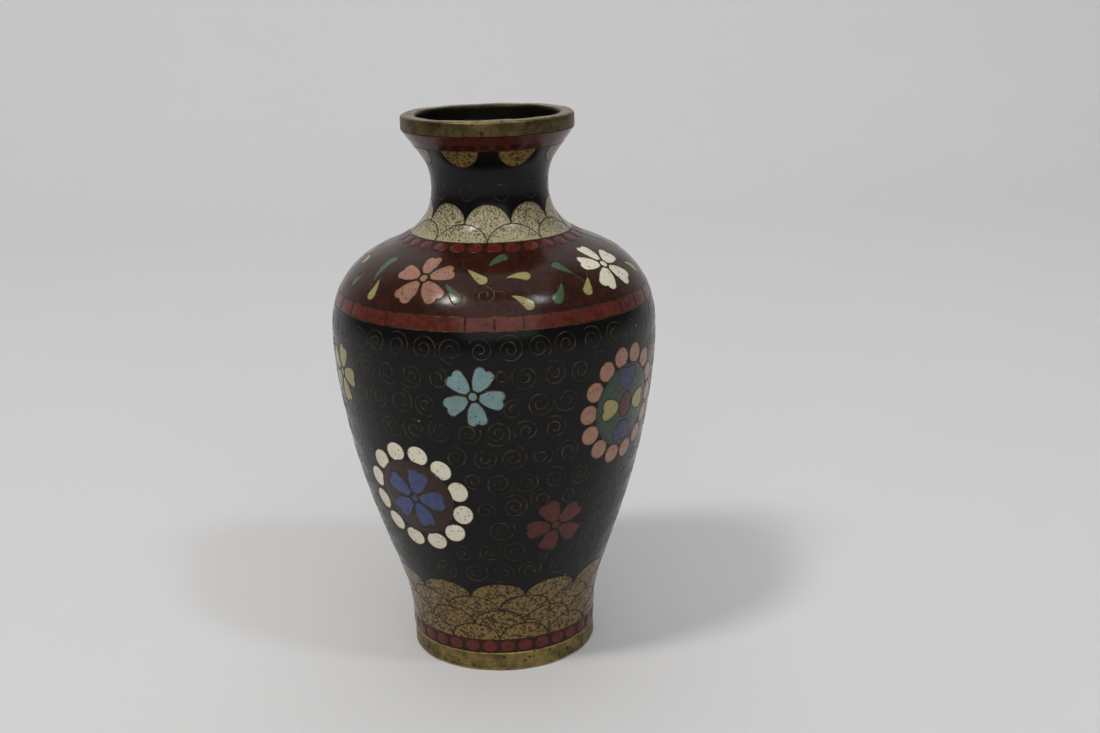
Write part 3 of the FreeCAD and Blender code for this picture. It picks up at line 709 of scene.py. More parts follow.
def wire_tree():
    """Sweeps a rounded wire along flat lines and wraps it on the wall."""
    n, given = new_tree("Cloison Wire", [
        ("Geometry", "Geometry"), ("Wall Line", "Object"), ("Width", "Float"), ("Stand", "Float"),
        ("Sink", "Float"), ("Finish", "Material")])
    paths = n.add("GeometryNodeMeshToCurve", {0: given["Geometry"]}).outputs[0]
    paths = n.add("GeometryNodeSetCurveNormal", {0: paths}, mode="Z_UP").outputs[0]
    circle = n.add("GeometryNodeCurvePrimitiveCircle", {"Resolution": 6, "Radius": 0.5}).outputs[0]
    thickness = n.math("ADD", given["Stand"], given["Sink"])
    section = n.add("GeometryNodeTransform", {
        "Geometry": circle, "Scale": n.join(given["Width"], thickness, 1.0)}).outputs[0]
    wire = n.add("GeometryNodeCurveToMesh", {
        "Curve": paths, "Profile Curve": section, "Fill Caps": True}).outputs[0]
    lift = n.math("MULTIPLY", n.math("SUBTRACT", given["Stand"], given["Sink"]), 0.5)
    lifted = n.add("GeometryNodeSetPosition", {
        "Geometry": wire, "Offset": n.join(0.0, 0.0, lift)}).outputs[0]
    finish_tree(n, wrapped(n, lifted, given["Wall Line"]), given["Finish"])
    return n.tree


def pane_tree():
    """Sets a pane of glass on every flat point, turned and tinted, and wraps them on the wall."""
    n, given = new_tree("Inlaid Glass", [
        ("Geometry", "Geometry"), ("Wall Line", "Object"), ("Pane", "Object"), ("Seed", "Int"),
        ("Finish", "Material")])
    chance = n.add("FunctionNodeRandomValue", data_type="FLOAT")
    n.feed(n.named(chance.inputs, "Seed"), given["Seed"])
    tinted = n.add("GeometryNodeStoreNamedAttribute", data_type="FLOAT", domain="POINT")
    n.feed(n.named(tinted.inputs, "Geometry"), given["Geometry"])
    n.feed(n.named(tinted.inputs, "Name"), "tint")
    n.feed(n.named(tinted.inputs, "Value"), n.named(chance.outputs, "Value"))

    def attribute(name):
        node = n.add("GeometryNodeInputNamedAttribute", {"Name": name}, data_type="FLOAT")
        return n.named(node.outputs, "Attribute")

    pane = n.add("GeometryNodeObjectInfo", {"Object": given["Pane"]}).outputs["Geometry"]
    turn = n.join(0.0, 0.0, n.math("MULTIPLY", attribute("twist"), -1.0))
    turn = n.add("FunctionNodeEulerToRotation", {0: turn}).outputs[0]
    placed = n.add("GeometryNodeInstanceOnPoints", {
        "Points": tinted.outputs[0], "Instance": pane, "Rotation": turn}).outputs[0]
    real = n.add("GeometryNodeRealizeInstances", {"Geometry": placed}).outputs[0]
    place = n.split(n.add("GeometryNodeInputPosition").outputs[0])
    aside = n.math("SUBTRACT", place[0], attribute("centre"))
    shift = n.math("MULTIPLY", aside, n.math("SUBTRACT", attribute("widening"), 1.0))
    widened = n.add("GeometryNodeSetPosition", {
        "Geometry": real, "Offset": n.join(shift, 0.0, 0.0)}).outputs[0]
    finish_tree(n, wrapped(n, widened, given["Wall Line"]), given["Finish"])
    return n.tree


# ---------------------------------------------------------------- meshes

def mesh_of(name, points, edges=(), faces=()):
    mesh = bpy.data.meshes.new(name)
    mesh.from_pydata([tuple(p) for p in np.asarray(points) * MM], list(edges), list(faces))
    return mesh


def point_values(mesh, name, values):
    """Store a number for each vertex."""
    attribute = mesh.attributes.new(name, "FLOAT", "POINT")
    attribute.data.foreach_set("value", np.asarray(values, np.float32))


def object_of(name, mesh):
    made = bpy.data.objects.new(name, mesh)
    bpy.context.scene.collection.objects.link(made)
    return made


def made_by_nodes(name, mesh, tree_name, **inputs):
    """Run a geometry node tree on a mesh and keep what it makes as a plain mesh."""
    piece = object_of(name, mesh)
    tree = bpy.data.node_groups[tree_name]
    modifier = piece.modifiers.new(tree_name, "NODES")
    modifier.node_group = tree
    sockets = {item.name: item.identifier for item in tree.interface.items_tree
               if item.item_type == "SOCKET" and item.in_out == "INPUT"}
    inputs["Wall Line"] = bpy.data.objects["wall_line"]
    for label, value in inputs.items():
        modifier[sockets[label]] = value
    piece.update_tag()
    graph = bpy.context.evaluated_depsgraph_get()
    result = bpy.data.meshes.new_from_object(piece.evaluated_get(graph), preserve_all_data_layers=True,
                                             depsgraph=graph)
    piece.modifiers.remove(modifier)
    piece.data = result
    bpy.data.meshes.remove(mesh)
    result.name = name
    if not result.polygons:
        raise RuntimeError(f"{name} came out empty")
    return piece


def settled(piece, slot, *nodes):
    """Ride on the vase's one body and stand for CAD nodes, which it hides. The slot is not used."""
    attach(piece, "root")
    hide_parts(*nodes)
    return piece


def pane_mesh(loop, crown):
    """A pane of glass: rings that rise to a crown, on a foot sunk in the ground glass."""
    loop = dense(loop)
    centre = (loop.min(0) + loop.max(0)) / 2
    size = np.linalg.norm(loop - centre, axis=1).max()
    rim = 1 - min(0.25, RIM_BURN / size)
    shares = [1.0] + list(np.linspace(rim, 0, max(2, round(size / RING_STEP)), endpoint=False))
    rings = [(share, -PANE_SINK) for share in reversed(shares)]
    rings += [(share, crown * (1 - share**2)) for share in shares]
    count = len(loop)
    points, rims = [], []
    for share, height in rings:
        points += [(x, y, height) for x, y in centre + (loop - centre) * share]
        rims += [share] * count
    points += [(*centre, crown), (*centre, -PANE_SINK)]
    rims += [0.0, 0.0]
    top, bottom = len(points) - 2, len(points) - 1
    faces = []
    for low in range(0, (len(rings) - 1) * count, count):
        high = low + count
        for i in range(count):
            j = (i + 1) % count
            faces.append((low + i, low + j, high + j, high + i))
    last = (len(rings) - 1) * count
    faces += [(last + i, last + (i + 1) % count, top) for i in range(count)]
    faces += [((i + 1) % count, i, bottom) for i in range(count)]
    mesh = mesh_of("pane", points, faces=faces)
    point_values(mesh, "rim", rims)
    y = np.array(points)[:, 1]
    point_values(mesh, "along", (y - y.min()) / max(np.ptp(y), 1e-6))
    return mesh


def panes(name, spots, finish, crown, seed=1, grow=WIRE_T / 2):
    """One piece with a pane of glass in every spot. Spots with one outline share their pane."""
    shapes = {}
    for spot in spots:
        shapes.setdefault(id(spot.loop), []).append(spot)
    made = []
    for number, alike in enumerate(shapes.values()):
        loop = grown(alike[0].loop, grow) if grow else alike[0].loop
        pane = object_of("pane", pane_mesh(loop, crown))
        centres = [(math.radians(s.azimuth) * SHEET_R, s.mark, s.layer * LAYER) for s in alike]
        mesh = mesh_of(name, centres)
        point_values(mesh, "twist", [math.radians(s.twist) for s in alike])
        point_values(mesh, "centre", [c[0] * MM for c in centres])
        point_values(mesh, "widening", [s.widening() for s in alike])
        made.append(made_by_nodes(f"{name}_{number}", mesh, "Inlaid Glass", Pane=pane, Seed=seed + number,
                                  Finish=finish))
        bpy.data.objects.remove(pane)
    return joined(name, made)


def joined(name, pieces):
    """Several meshes made one piece."""
    if len(pieces) > 1:
        with bpy.context.temp_override(active_object=pieces[0], selected_editable_objects=pieces):
            bpy.ops.object.join()
    pieces[0].name = pieces[0].data.name = name
    return pieces[0]


def wires(name, runs, finish, settings):
    """One piece with a wire along every run."""
    points, edges = [], []
    for line, layer in runs:
        first = len(points)
        closed = np.allclose(line[0], line[-1])
        kept = line[:-1] if closed else line
        points += [(x, y, layer * LAYER) for x, y in kept]
        edges += [(first + i, first + i + 1) for i in range(len(kept) - 1)]
        if closed:
            edges.append((first + len(kept) - 1, first))
    return made_by_nodes(name, mesh_of(name, points, edges), "Cloison Wire", Width=settings.wire_width,
                         Stand=settings.wire_stand, Sink=settings.wire_sink, Finish=finish)


def spun(name, profile, finish, around=288, shape=None):
    """A ring from a closed profile of radii and heights. shape moves its points, if given."""
    profile = np.asarray(profile)
    azimuths = 2 * math.pi * np.arange(around) / around
    radii = np.repeat(profile[None, :, 0], around, axis=0)
    heights = np.repeat(profile[None, :, 1], around, axis=0)
    angles = np.repeat(azimuths[:, None], len(profile), axis=1)
    if shape:
        radii, heights = shape(angles, radii, heights)
    points = np.stack([radii * np.sin(angles), -radii * np.cos(angles), heights], axis=2).reshape(-1, 3)
    count = len(profile)
    faces = []
    for i in range(around):
        a, b = i * count, (i + 1) % around * count
        faces += [(a + k, b + k, b + (k + 1) % count, a + (k + 1) % count) for k in range(count)]
    mesh = mesh_of(name, points, faces=faces)
    work = bmesh.new()
    work.from_mesh(mesh)
    bmesh.ops.recalc_face_normals(work, faces=work.faces)
    work.to_mesh(mesh)
    work.free()
    mesh.shade_smooth()
    mesh.set_sharp_from_angle(angle=math.radians(40))
    mesh.materials.append(finish)
    return object_of(name, mesh)


def coat(name, first, last, finish):
    """A ring of ground glass between two marks."""
    marks = np.linspace(first, last, max(3, int((last - first) / 0.35)))
    outer, inner = wall_points(marks), inside_wall(marks[::-1], ENAMEL_T)
    return spun(name, np.vstack([outer, inner]), finish)


def ring_wire(name, mark, finish):
    """A rounded wire right around the vase."""
    settings = bpy.context.scene.vase_sizes
    half_width = settings.wire_width / MM / 2
    half_height = (settings.wire_stand + settings.wire_sink) / MM / 2
    lift = (settings.wire_stand - settings.wire_sink) / MM / 2
    section = []
    for angle in np.linspace(0, 2 * math.pi, 10, endpoint=False):
        at = mark + half_width * math.cos(angle)
        section.append(inside_wall([at], -lift - half_height * math.sin(angle))[0])
    return spun(name, section, finish)


def rounded_corner(centre, radius, first, last, steps=6):
    """Points of a quarter round in a profile, from one angle to another in degrees."""
    angles = np.radians(np.linspace(first, last, steps))
    return [(centre[0] + radius * math.cos(a), centre[1] + radius * math.sin(a)) for a in angles]


def straight(start, end, steps):
    """Points of a straight stretch of a profile, without its ends."""
    return [tuple(between(np.array(start), np.array(end), i / steps)) for i in range(1, steps)]

# ---------------------------------------------------------------- materials

def tone(red, green, blue):
    """A colour from steps of 0 to 255, as a linear colour."""
    steps = np.array([red, green, blue]) / 255.0
    return tuple(np.where(steps <= 0.04045, steps / 12.92, ((steps + 0.055) / 1.055) ** 2.4))


def shade(colour, factor):
    """The same colour, lighter or darker."""
    return tuple(min(1.0, c * factor) for c in colour[:3])


class Finish(Wiring):
    """A procedural material being wired up. Its patterns lie on object coordinates in mm."""

    def __init__(self, name):
        self.material = bpy.data.materials.new(name)
        self.material.use_nodes = True
        super().__init__(self.material.node_tree)
        self.tree.nodes.clear()
        self.place = self.scaled(self.add("ShaderNodeTexCoord").outputs["Object"], 1 / MM)
        self.shader = self.add("ShaderNodeBsdfPrincipled")
        output = self.add("ShaderNodeOutputMaterial")
        self.tree.links.new(self.shader.outputs[0], output.inputs[0])

    def noise(self, size, detail=3.0, place=None):
        """Cloudy noise between 0 and 1, with patches of about a size in mm."""
        node = self.add("ShaderNodeTexNoise", {
            "Vector": place or self.place, "Scale": 1 / size, "Detail": detail, "Roughness": 0.6})
        return node.outputs[0]

    def shaken(self, size, amount):
        """Places moved about a little, so that a pattern on them has ragged edges."""
        node = self.add("ShaderNodeTexNoise", {"Vector": self.place, "Scale": 1 / size, "Detail": 2.0})
        return self.vector("ADD", self.place, self.scaled(node.outputs["Color"], amount))

    def cells(self, size, place=None):
        """Grains of a size in mm: how far from a grain's middle, and a chance for each grain."""
        node = self.add("ShaderNodeTexVoronoi", {
            "Vector": place or self.place, "Scale": 1 / size, "Randomness": 1.0})
        return node.outputs["Distance"], self.split(node.outputs["Color"])[0]

    def between(self, value, low, high):
        """0 below low, 1 above high and smooth between, or the other way round."""
        flip = low > high
        node = self.add("ShaderNodeMapRange", {
            "Value": value, "From Min": min(low, high), "From Max": max(low, high)},
            interpolation_type="SMOOTHSTEP")
        return self.math("SUBTRACT", 1.0, node.outputs[0]) if flip else node.outputs[0]

    def times(self, a, b):
        return self.math("MULTIPLY", a, b)

    def steps(self, value, *stops):
        """A colour for each value, from pairs of a place between 0 and 1 and a colour."""
        node = self.add("ShaderNodeValToRGB", {"Fac": value})
        ramp = node.color_ramp
        while len(ramp.elements) < len(stops):
            ramp.elements.new(0.5)
        for element, (place, colour) in zip(ramp.elements, stops):
            element.position, element.color = place, (*colour[:3], 1.0)
        return node.outputs[0]

    def blend(self, share, first, second):
        node = self.add("ShaderNodeMix", data_type="RGBA")
        self.feed(node.inputs[0], share)
        for index, colour in ((6, first), (7, second)):
            plain = not isinstance(colour, bpy.types.NodeSocket)
            self.feed(node.inputs[index], (*colour[:3], 1.0) if plain else colour)
        return node.outputs[2]

    def stored(self, name):
        """A number that the piece stores for each point, or 0 where it stores none."""
        return self.add("ShaderNodeAttribute", attribute_name=name).outputs["Fac"]

    def relief(self, *layers):
        """Bumps, one over the other, each with its height between 0 and 1 and its depth in mm."""
        normal = None
        for height, depth in layers:
            inputs = {"Height": height, "Distance": depth * MM, "Strength": 1.0}
            if normal:
                inputs["Normal"] = normal
            normal = self.add("ShaderNodeBump", inputs).outputs[0]
        self.feed(self.shader.inputs["Normal"], normal)

    def done(self, colour, roughness, metallic=0.0, **plain):
        self.feed(self.shader.inputs["Base Color"], colour)
        self.feed(self.shader.inputs["Roughness"], roughness)
        self.shader.inputs["Metallic"].default_value = metallic
        for name, value in plain.items():
            self.shader.inputs[name.replace("_", " ")].default_value = value
        return self.material


PIT = tone(24, 20, 17)
DUST = tone(150, 144, 130)
GLASS_ROUGHNESS = 0.11
GLASS_GLOSS = 0.3
GROUND_GLOSS = 0.2


def glass_relief(f, pits):
    """Hand-polished glass: a slow wave, a fine grain and the pits of burst bubbles."""
    f.relief((f.noise(3.2, 1.0), 0.05), (f.noise(0.5, 2.0), 0.004), (pits, -0.03))


def pits_of(f, size, chance, radius=0.3):
    """Small round pits: 1 in a pit and 0 elsewhere."""
    distance, luck = f.cells(size)
    chosen = f.between(luck, 1 - chance, 1 - chance + 0.01)
    return f.times(f.between(distance, radius, radius * 0.6), chosen)


def opaque_glass(name, colour, mottle=0.75, pit_chance=0.12, grain=0.22):
    """Opaque enamel: clouded colour, fine dark grains, pits, and a burnt edge along the wires."""
    f = Finish(name)
    deep = shade(colour, mottle)
    body = f.blend(f.between(f.noise(1.3, 4.0), 0.38, 0.66), colour, deep)
    lighter = f.times(f.stored("tint"), 0.35)
    body = f.blend(lighter, body, shade(colour, 1.22))
    _, luck = f.cells(grain, f.shaken(0.3, 0.2))
    body = f.blend(f.times(f.between(luck, 0.72, 0.95), 0.30), body, shade(colour, 0.45))
    burnt = f.times(f.between(f.stored("rim"), 0.86, 1.0), 0.55)
    body = f.blend(burnt, body, shade(colour, 0.42))
    pits = pits_of(f, 0.55, pit_chance)
    body = f.blend(f.times(pits, 0.8), body, PIT)
    glass_relief(f, pits)
    roughness = f.math("ADD", f.times(f.noise(0.9, 3.0), 0.16), GLASS_ROUGHNESS)
    return f.done(body, roughness, Specular_IOR_Level=GLASS_GLOSS)


def dark_glass(name, colour, cloud):
    """A ground of dark enamel: faint clouds, scattered pits and a little bright dust in them."""
    f = Finish(name)
    body = f.blend(f.between(f.noise(2.4, 5.0), 0.35, 0.75), colour, cloud)
    _, luck = f.cells(0.3, f.shaken(0.4, 0.25))
    body = f.blend(f.times(f.between(luck, 0.8, 1.0), 0.5), body, shade(cloud, 1.7))
    pits, dust = pits_of(f, 0.8, 0.10, 0.2), pits_of(f, 1.7, 0.05, 0.1)
    body = f.blend(pits, body, shade(colour, 0.4))
    body = f.blend(dust, body, DUST)
    glass_relief(f, pits)
    roughness = f.math("ADD", f.times(f.noise(1.1, 3.0), 0.16), GLASS_ROUGHNESS)
    return f.done(body, roughness, Specular_IOR_Level=GROUND_GLOSS)


def speckled_glass(name, pale, gold, rust, dark, dark_at_top, grain, share):
    """Enamel of mixed grains: pale and gold ones, with rust and dark ones between."""
    f = Finish(name)
    ragged = f.shaken(0.25, 0.28)
    _, luck = f.cells(grain, ragged)
    _, fine = f.cells(0.16, ragged)
    body = f.steps(luck, (0.0, pale), (0.30, gold), (0.62, pale), (0.80, gold), (1.0, pale))
    patch = f.noise(1.0, 3.0)
    along = f.stored("along")
    more = f.math("MULTIPLY_ADD", along, dark_at_top, f.math("MULTIPLY_ADD", patch, 0.5, -0.25))
    rusty = f.between(f.math("ADD", luck, more), 1 - share, 1.12 - share)
    body = f.blend(rusty, body, rust)
    specks = f.between(f.math("ADD", fine, f.times(more, 0.8)), 0.86, 0.94)
    body = f.blend(f.times(specks, 0.8), body, dark)
    lighter = f.times(f.stored("tint"), 0.2)
    body = f.blend(lighter, body, shade(pale, 1.1))
    body = f.blend(f.times(f.between(f.stored("rim"), 0.9, 1.0), 0.6), body, dark)
    pits = pits_of(f, 0.5, 0.2)
    body = f.blend(f.times(pits, 0.7), body, PIT)
    glass_relief(f, pits)
    roughness = f.math("ADD", f.times(f.noise(0.5, 3.0), 0.2), GLASS_ROUGHNESS + 0.04)
    return f.done(body, roughness, Specular_IOR_Level=GLASS_GLOSS)


def lip_glass(name, red, dark):
    """The lip's red enamel, with a darker strip of red beads along its lower edge."""
    f = Finish(name)
    place = f.split(f.place)
    height = f.between(place[2], level(LIP_LEVEL) + 0.95, level(LIP_LEVEL) + 0.75)
    azimuth = f.math("ARCTAN2", place[0], f.times(place[1], -1.0))
    beads = f.math("SINE", f.times(azimuth, 34.0))
    spot = f.times(f.between(beads, 0.1, 0.7), f.between(f.noise(0.8), 0.3, 0.6))
    body = f.blend(f.between(f.noise(1.0, 4.0), 0.4, 0.7), red, shade(red, 0.6))
    strip = f.blend(spot, dark, shade(red, 1.15))
    body = f.blend(height, body, strip)
    pits = pits_of(f, 0.5, 0.15)
    body = f.blend(f.times(pits, 0.8), body, PIT)
    glass_relief(f, pits)
    return f.done(body, f.math("ADD", f.times(f.noise(0.7), 0.15), GLASS_ROUGHNESS), 
                  Specular_IOR_Level=GLASS_GLOSS)


def wire_metal(name, bright, tarnish, share):
    """Polished wire ends with tarnish in patches."""
    f = Finish(name)
    patch = f.between(f.noise(1.4, 4.0), 0.62 - share * 0.4, 0.85 - share * 0.4)
    body = f.blend(patch, tarnish, bright)
    _, luck = f.cells(0.15)
    body = f.blend(f.times(f.between(luck, 0.7, 1.0), 0.4), body, shade(tarnish, 0.5))
    f.relief((f.noise(0.15, 2.0), 0.006))
    return f.done(body, f.math("ADD", f.times(f.noise(0.5), 0.25), 0.30), metallic=1.0)


def aged_brass(name, bright, patina, crust, low, high, shaded_bore_r):
    """Turned brass: patina over the faces, worn bright along the edges at two heights, with painted shade
    inside the bore.
    """
    f = Finish(name)
    place = f.split(f.place)
    radius = f.math("SQRT", f.math("ADD", f.times(place[0], place[0]), f.times(place[1], place[1])))
    azimuth = f.math("ARCTAN2", place[0], f.times(place[1], -1.0))
    turned = f.join(f.times(azimuth, 1.5), f.times(radius, 7.0), f.times(place[2], 7.0))
    lines = f.noise(1.0, 4.0, turned)
    cloud = f.noise(2.6, 5.0)
    body = f.blend(f.between(cloud, 0.34, 0.66), patina, bright)
    body = f.blend(f.times(f.between(lines, 0.45, 0.7), 0.5), body, shade(patina, 0.6))
    spots, luck = f.cells(0.7, f.shaken(0.6, 0.5))
    stain = f.times(f.between(luck, 0.80, 0.95), f.between(spots, 0.55, 0.25))
    body = f.blend(f.times(stain, 0.75), body, crust)
    foot_edge = f.between(place[2], low + 0.55, low + 0.1)
    edge = f.math("MAXIMUM", foot_edge, f.between(place[2], high - 0.42, high - 0.08))
    worn = f.times(edge, f.between(f.noise(1.2, 4.0), 0.3, 0.55))
    body = f.blend(f.times(worn, 0.85), body, shade(bright, 1.9))
    # Painted shade: the inner face of the bore is darkened towards the bore radius, where the inside of the
    # ring lies in shade.
    painted_bore_shade = f.times(f.between(radius, shaded_bore_r + 0.5, shaded_bore_r + 0.1), 0.85)
    body = f.blend(painted_bore_shade, body, shade(crust, 0.7))
    f.relief((lines, 0.012), (f.noise(0.35, 4.0), 0.012), (stain, -0.01))
    rough = f.math("ADD", f.times(f.noise(0.8, 4.0), 0.3), 0.28)
    rough = f.math("SUBTRACT", rough, f.times(worn, 0.12))
    return f.done(body, rough, metallic=0.9)


def old_metal(name, colour, dull):
    """Sheet metal that nobody polishes."""
    f = Finish(name)
    body = f.blend(f.between(f.noise(3.0, 6.0), 0.35, 0.65), colour, dull)
    f.relief((f.noise(0.6, 4.0), 0.02))
    return f.done(body, f.math("ADD", f.times(f.noise(1.5), 0.3), 0.4), metallic=1.0)


def studio_paper(name, colour):
    """Plain pale paper for the floor and the backdrop."""
    f = Finish(name)
    body = f.blend(f.times(f.noise(60.0, 2.0), 0.5), colour, shade(colour, 0.95))
    f.relief((f.noise(1.0, 3.0), 0.02))
    return f.done(body, f.math("ADD", f.times(f.noise(5.0), 0.1), 0.75), Specular_IOR_Level=0.2)


def finish(name):
    """One of the vase's materials, made when it is first asked for."""
    if name in bpy.data.materials:
        return bpy.data.materials[name]
    c = bpy.context.scene.vase_glass
    makers = {
        "black_glass": lambda: dark_glass(name, c.black, shade(c.black, 1.5)),
        "maroon_glass": lambda: dark_glass(name, c.maroon, shade(c.maroon, 1.7)),
        "foot_ground_glass": lambda: dark_glass(name, c.foot_ground, shade(c.foot_ground, 1.6)),
        "lip_glass": lambda: lip_glass(name, c.lip, shade(c.lip, 0.45)),
        "band_red_glass": lambda: opaque_glass(name, c.band_red, 0.55, 0.2),
        "bead_red_glass": lambda: opaque_glass(name, c.bead_red, 0.6, 0.15),
        "pink_glass": lambda: opaque_glass(name, c.pink, 0.78, 0.3),
        "white_glass": lambda: opaque_glass(name, c.white, 0.9, 0.35),
        "green_glass": lambda: opaque_glass(name, c.green, 0.7),
        "yellow_glass": lambda: opaque_glass(name, c.yellow, 0.85),
        "turquoise_glass": lambda: opaque_glass(name, c.turquoise, 0.8, 0.3),
        "blue_glass": lambda: opaque_glass(name, c.blue, 0.7, 0.2),
        "brown_glass": lambda: opaque_glass(name, c.brown, 0.6, 0.25),
        "deep_green_glass": lambda: opaque_glass(name, c.deep_green, 0.65),
        "purple_glass": lambda: opaque_glass(name, c.purple, 0.6),
        "flower_red_glass": lambda: opaque_glass(name, c.flower_red, 0.65),
        "ochre_glass": lambda: speckled_glass(name, c.ochre, shade(c.ochre, 1.5), c.rust, PIT, 0.0,
                                              0.36, 0.44),
        "drop_glass": lambda: speckled_glass(name, c.ochre, shade(c.ochre, 1.3), c.rust, PIT, -0.2,
                                             0.3, 0.5),
        "cream_glass": lambda: speckled_glass(name, c.cream, shade(c.cream, 0.8), shade(c.ochre, 0.6), PIT,
                                              0.3, 0.2, 0.10),
        "lining_glass": lambda: dark_glass(name, tone(30, 36, 44), tone(44, 50, 50)),
        "base_glass": lambda: dark_glass(name, tone(38, 44, 46), tone(62, 68, 64)),
        "scroll_wire": lambda: wire_metal(name, c.scroll_wire, shade(c.scroll_wire, 0.35), 0.5),
        "bright_wire": lambda: wire_metal(name, c.bright_wire, shade(c.bright_wire, 0.3), 0.6),
        "bead_wire": lambda: wire_metal(name, shade(c.bright_wire, 0.7), tone(52, 44, 30), 0.4),
        "dark_wire": lambda: wire_metal(name, shade(c.bright_wire, 0.5), tone(40, 36, 30), 0.3),
        "foot_brass": lambda: aged_brass(name, c.brass, c.patina, tone(34, 30, 24), 0.0, FOOT_TOP,
                                         FOOT_RING_BORE_R),
        "rim_brass": lambda: aged_brass(name, shade(c.brass, 0.5), shade(c.patina, 0.55), tone(30, 28, 22),
                                        -9.0, HEIGHT, RIM_BORE_R),
        "copper": lambda: old_metal(name, tone(140, 84, 60), tone(70, 44, 36)),
        "plate_copper": lambda: old_metal(name, tone(120, 74, 56), tone(60, 42, 36)),
        "paper": lambda: studio_paper(name, c.paper),
    }
    return makers[name]()


# ---------------------------------------------------------------- what a user may change

def colour_property(label, what, red, green, blue):
    return FloatVectorProperty(name=label, description=what, subtype="COLOR", size=3, min=0.0, max=1.0,
                               default=tone(red, green, blue))


class VaseSizes(bpy.types.PropertyGroup):
    """Sizes of the wires and panes"""
    wire_width: FloatProperty(
        name="Wire Width", description="Width of a wire in the glass", default=0.21 * MM,
        min=0.05 * MM, max=0.5 * MM, subtype="DISTANCE", unit="LENGTH", precision=5)
    wire_stand: FloatProperty(
        name="Wire Stand", description="How far a wire stands out of the glass", default=0.03 * MM,
        min=0.0, max=0.1 * MM, subtype="DISTANCE", unit="LENGTH", precision=5)
    wire_sink: FloatProperty(
        name="Wire Sink", description="How far a wire's section reaches into the glass",
        default=0.10 * MM, min=0.01 * MM, max=0.3 * MM, subtype="DISTANCE", unit="LENGTH", precision=5)
    pane_crown: FloatProperty(
        name="Pane Crown", description="Height of a petal or leaf at its middle, in mm", default=0.03,
        min=-0.1, max=0.2)
    bead_crown: FloatProperty(
        name="Bead Crown", description="Height of a bead at its middle, in mm", default=0.09,
        min=0.0, max=0.3)
    seed: IntProperty(
        name="Tint Seed", description="Seed of each pane's own tint", default=7, min=0)


class VaseGlass(bpy.types.PropertyGroup):
    """Colours of the glass and the metal"""
    black: colour_property("Black", "Ground of the body and the neck", 10, 9, 9)
    maroon: colour_property("Maroon", "Ground of the shoulder", 44, 21, 15)
    foot_ground: colour_property("Foot Ground", "Ground between the foot's beads", 42, 24, 17)
    lip: colour_property("Lip Red", "Band under the rim", 72, 32, 27)
    band_red: colour_property("Band Red", "Tiles of the band", 94, 40, 32)
    bead_red: colour_property("Bead Red", "Beads of the collar and the foot", 94, 34, 26)
    pink: colour_property("Pink", "Shoulder flowers and medallion petals", 158, 116, 98)
    white: colour_property("White", "White flowers and medallion petals", 226, 219, 198)
    green: colour_property("Green", "Leaves", 70, 92, 62)
    yellow: colour_property("Yellow", "Leaves, lobes and flowers", 152, 145, 92)
    turquoise: colour_property("Turquoise", "Body flowers", 118, 146, 147)
    blue: colour_property("Blue", "Flower on the white medallion", 64, 76, 118)
    brown: colour_property("Brown", "Disc of the white medallion", 52, 32, 24)
    deep_green: colour_property("Deep Green", "Disc of the pink medallion", 50, 68, 58)
    purple: colour_property("Purple", "Caps of the pink medallion", 56, 56, 92)
    flower_red: colour_property("Flower Red", "Red flowers and hearts", 84, 36, 30)
    ochre: colour_property("Ochre", "Foot scales and lip drops", 112, 92, 50)
    rust: colour_property("Rust", "Dark grains in the ochre", 58, 34, 22)
    cream: colour_property("Cream", "Collar scales", 180, 168, 136)
    scroll_wire: colour_property("Scroll Wire", "Spirals on the body", 92, 79, 62)
    bright_wire: colour_property("Bright Wire", "Wires of flowers and medallions", 88, 73, 50)
    brass: colour_property("Brass", "Foot and rim where it is bright", 150, 130, 80)
    patina: colour_property("Patina", "Foot and rim where it is dull", 90, 80, 50)
    paper: colour_property("Paper", "Floor and backdrop", 228, 228, 229)


# ---------------------------------------------------------------- one operator for each group

FOOT_NICK_AZIMUTH = 13.0
FOOT_NICK_Z = 1.9
NICK_DEPTH = 0.25
NICK_SIZE = 0.55
PLAY = 0.08


def carry_over(node, material):
    """Give a CAD node that stays its finish."""
    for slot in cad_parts[node].material_slots:
        slot.material = material


class VASE_OT_wall_line(bpy.types.Operator):
    """Draw the line of the vase's wall, which every wrapped piece follows"""
    bl_idname = "vase.wall_line"
    bl_label = "Wall Line"

    def execute(self, context):
        marks = np.arange(0, MARKS[-1] + LINE_STEP, LINE_STEP)
        line = wall_points(np.minimum(marks, MARKS[-1]))
        points = [(r, 0.0, z) for r, z in line]
        object_of("wall_line", mesh_of("wall_line", points, [(i, i + 1) for i in range(len(points) - 1)]))
        wrap_tree()
        wire_tree()
        pane_tree()
        return {"FINISHED"}


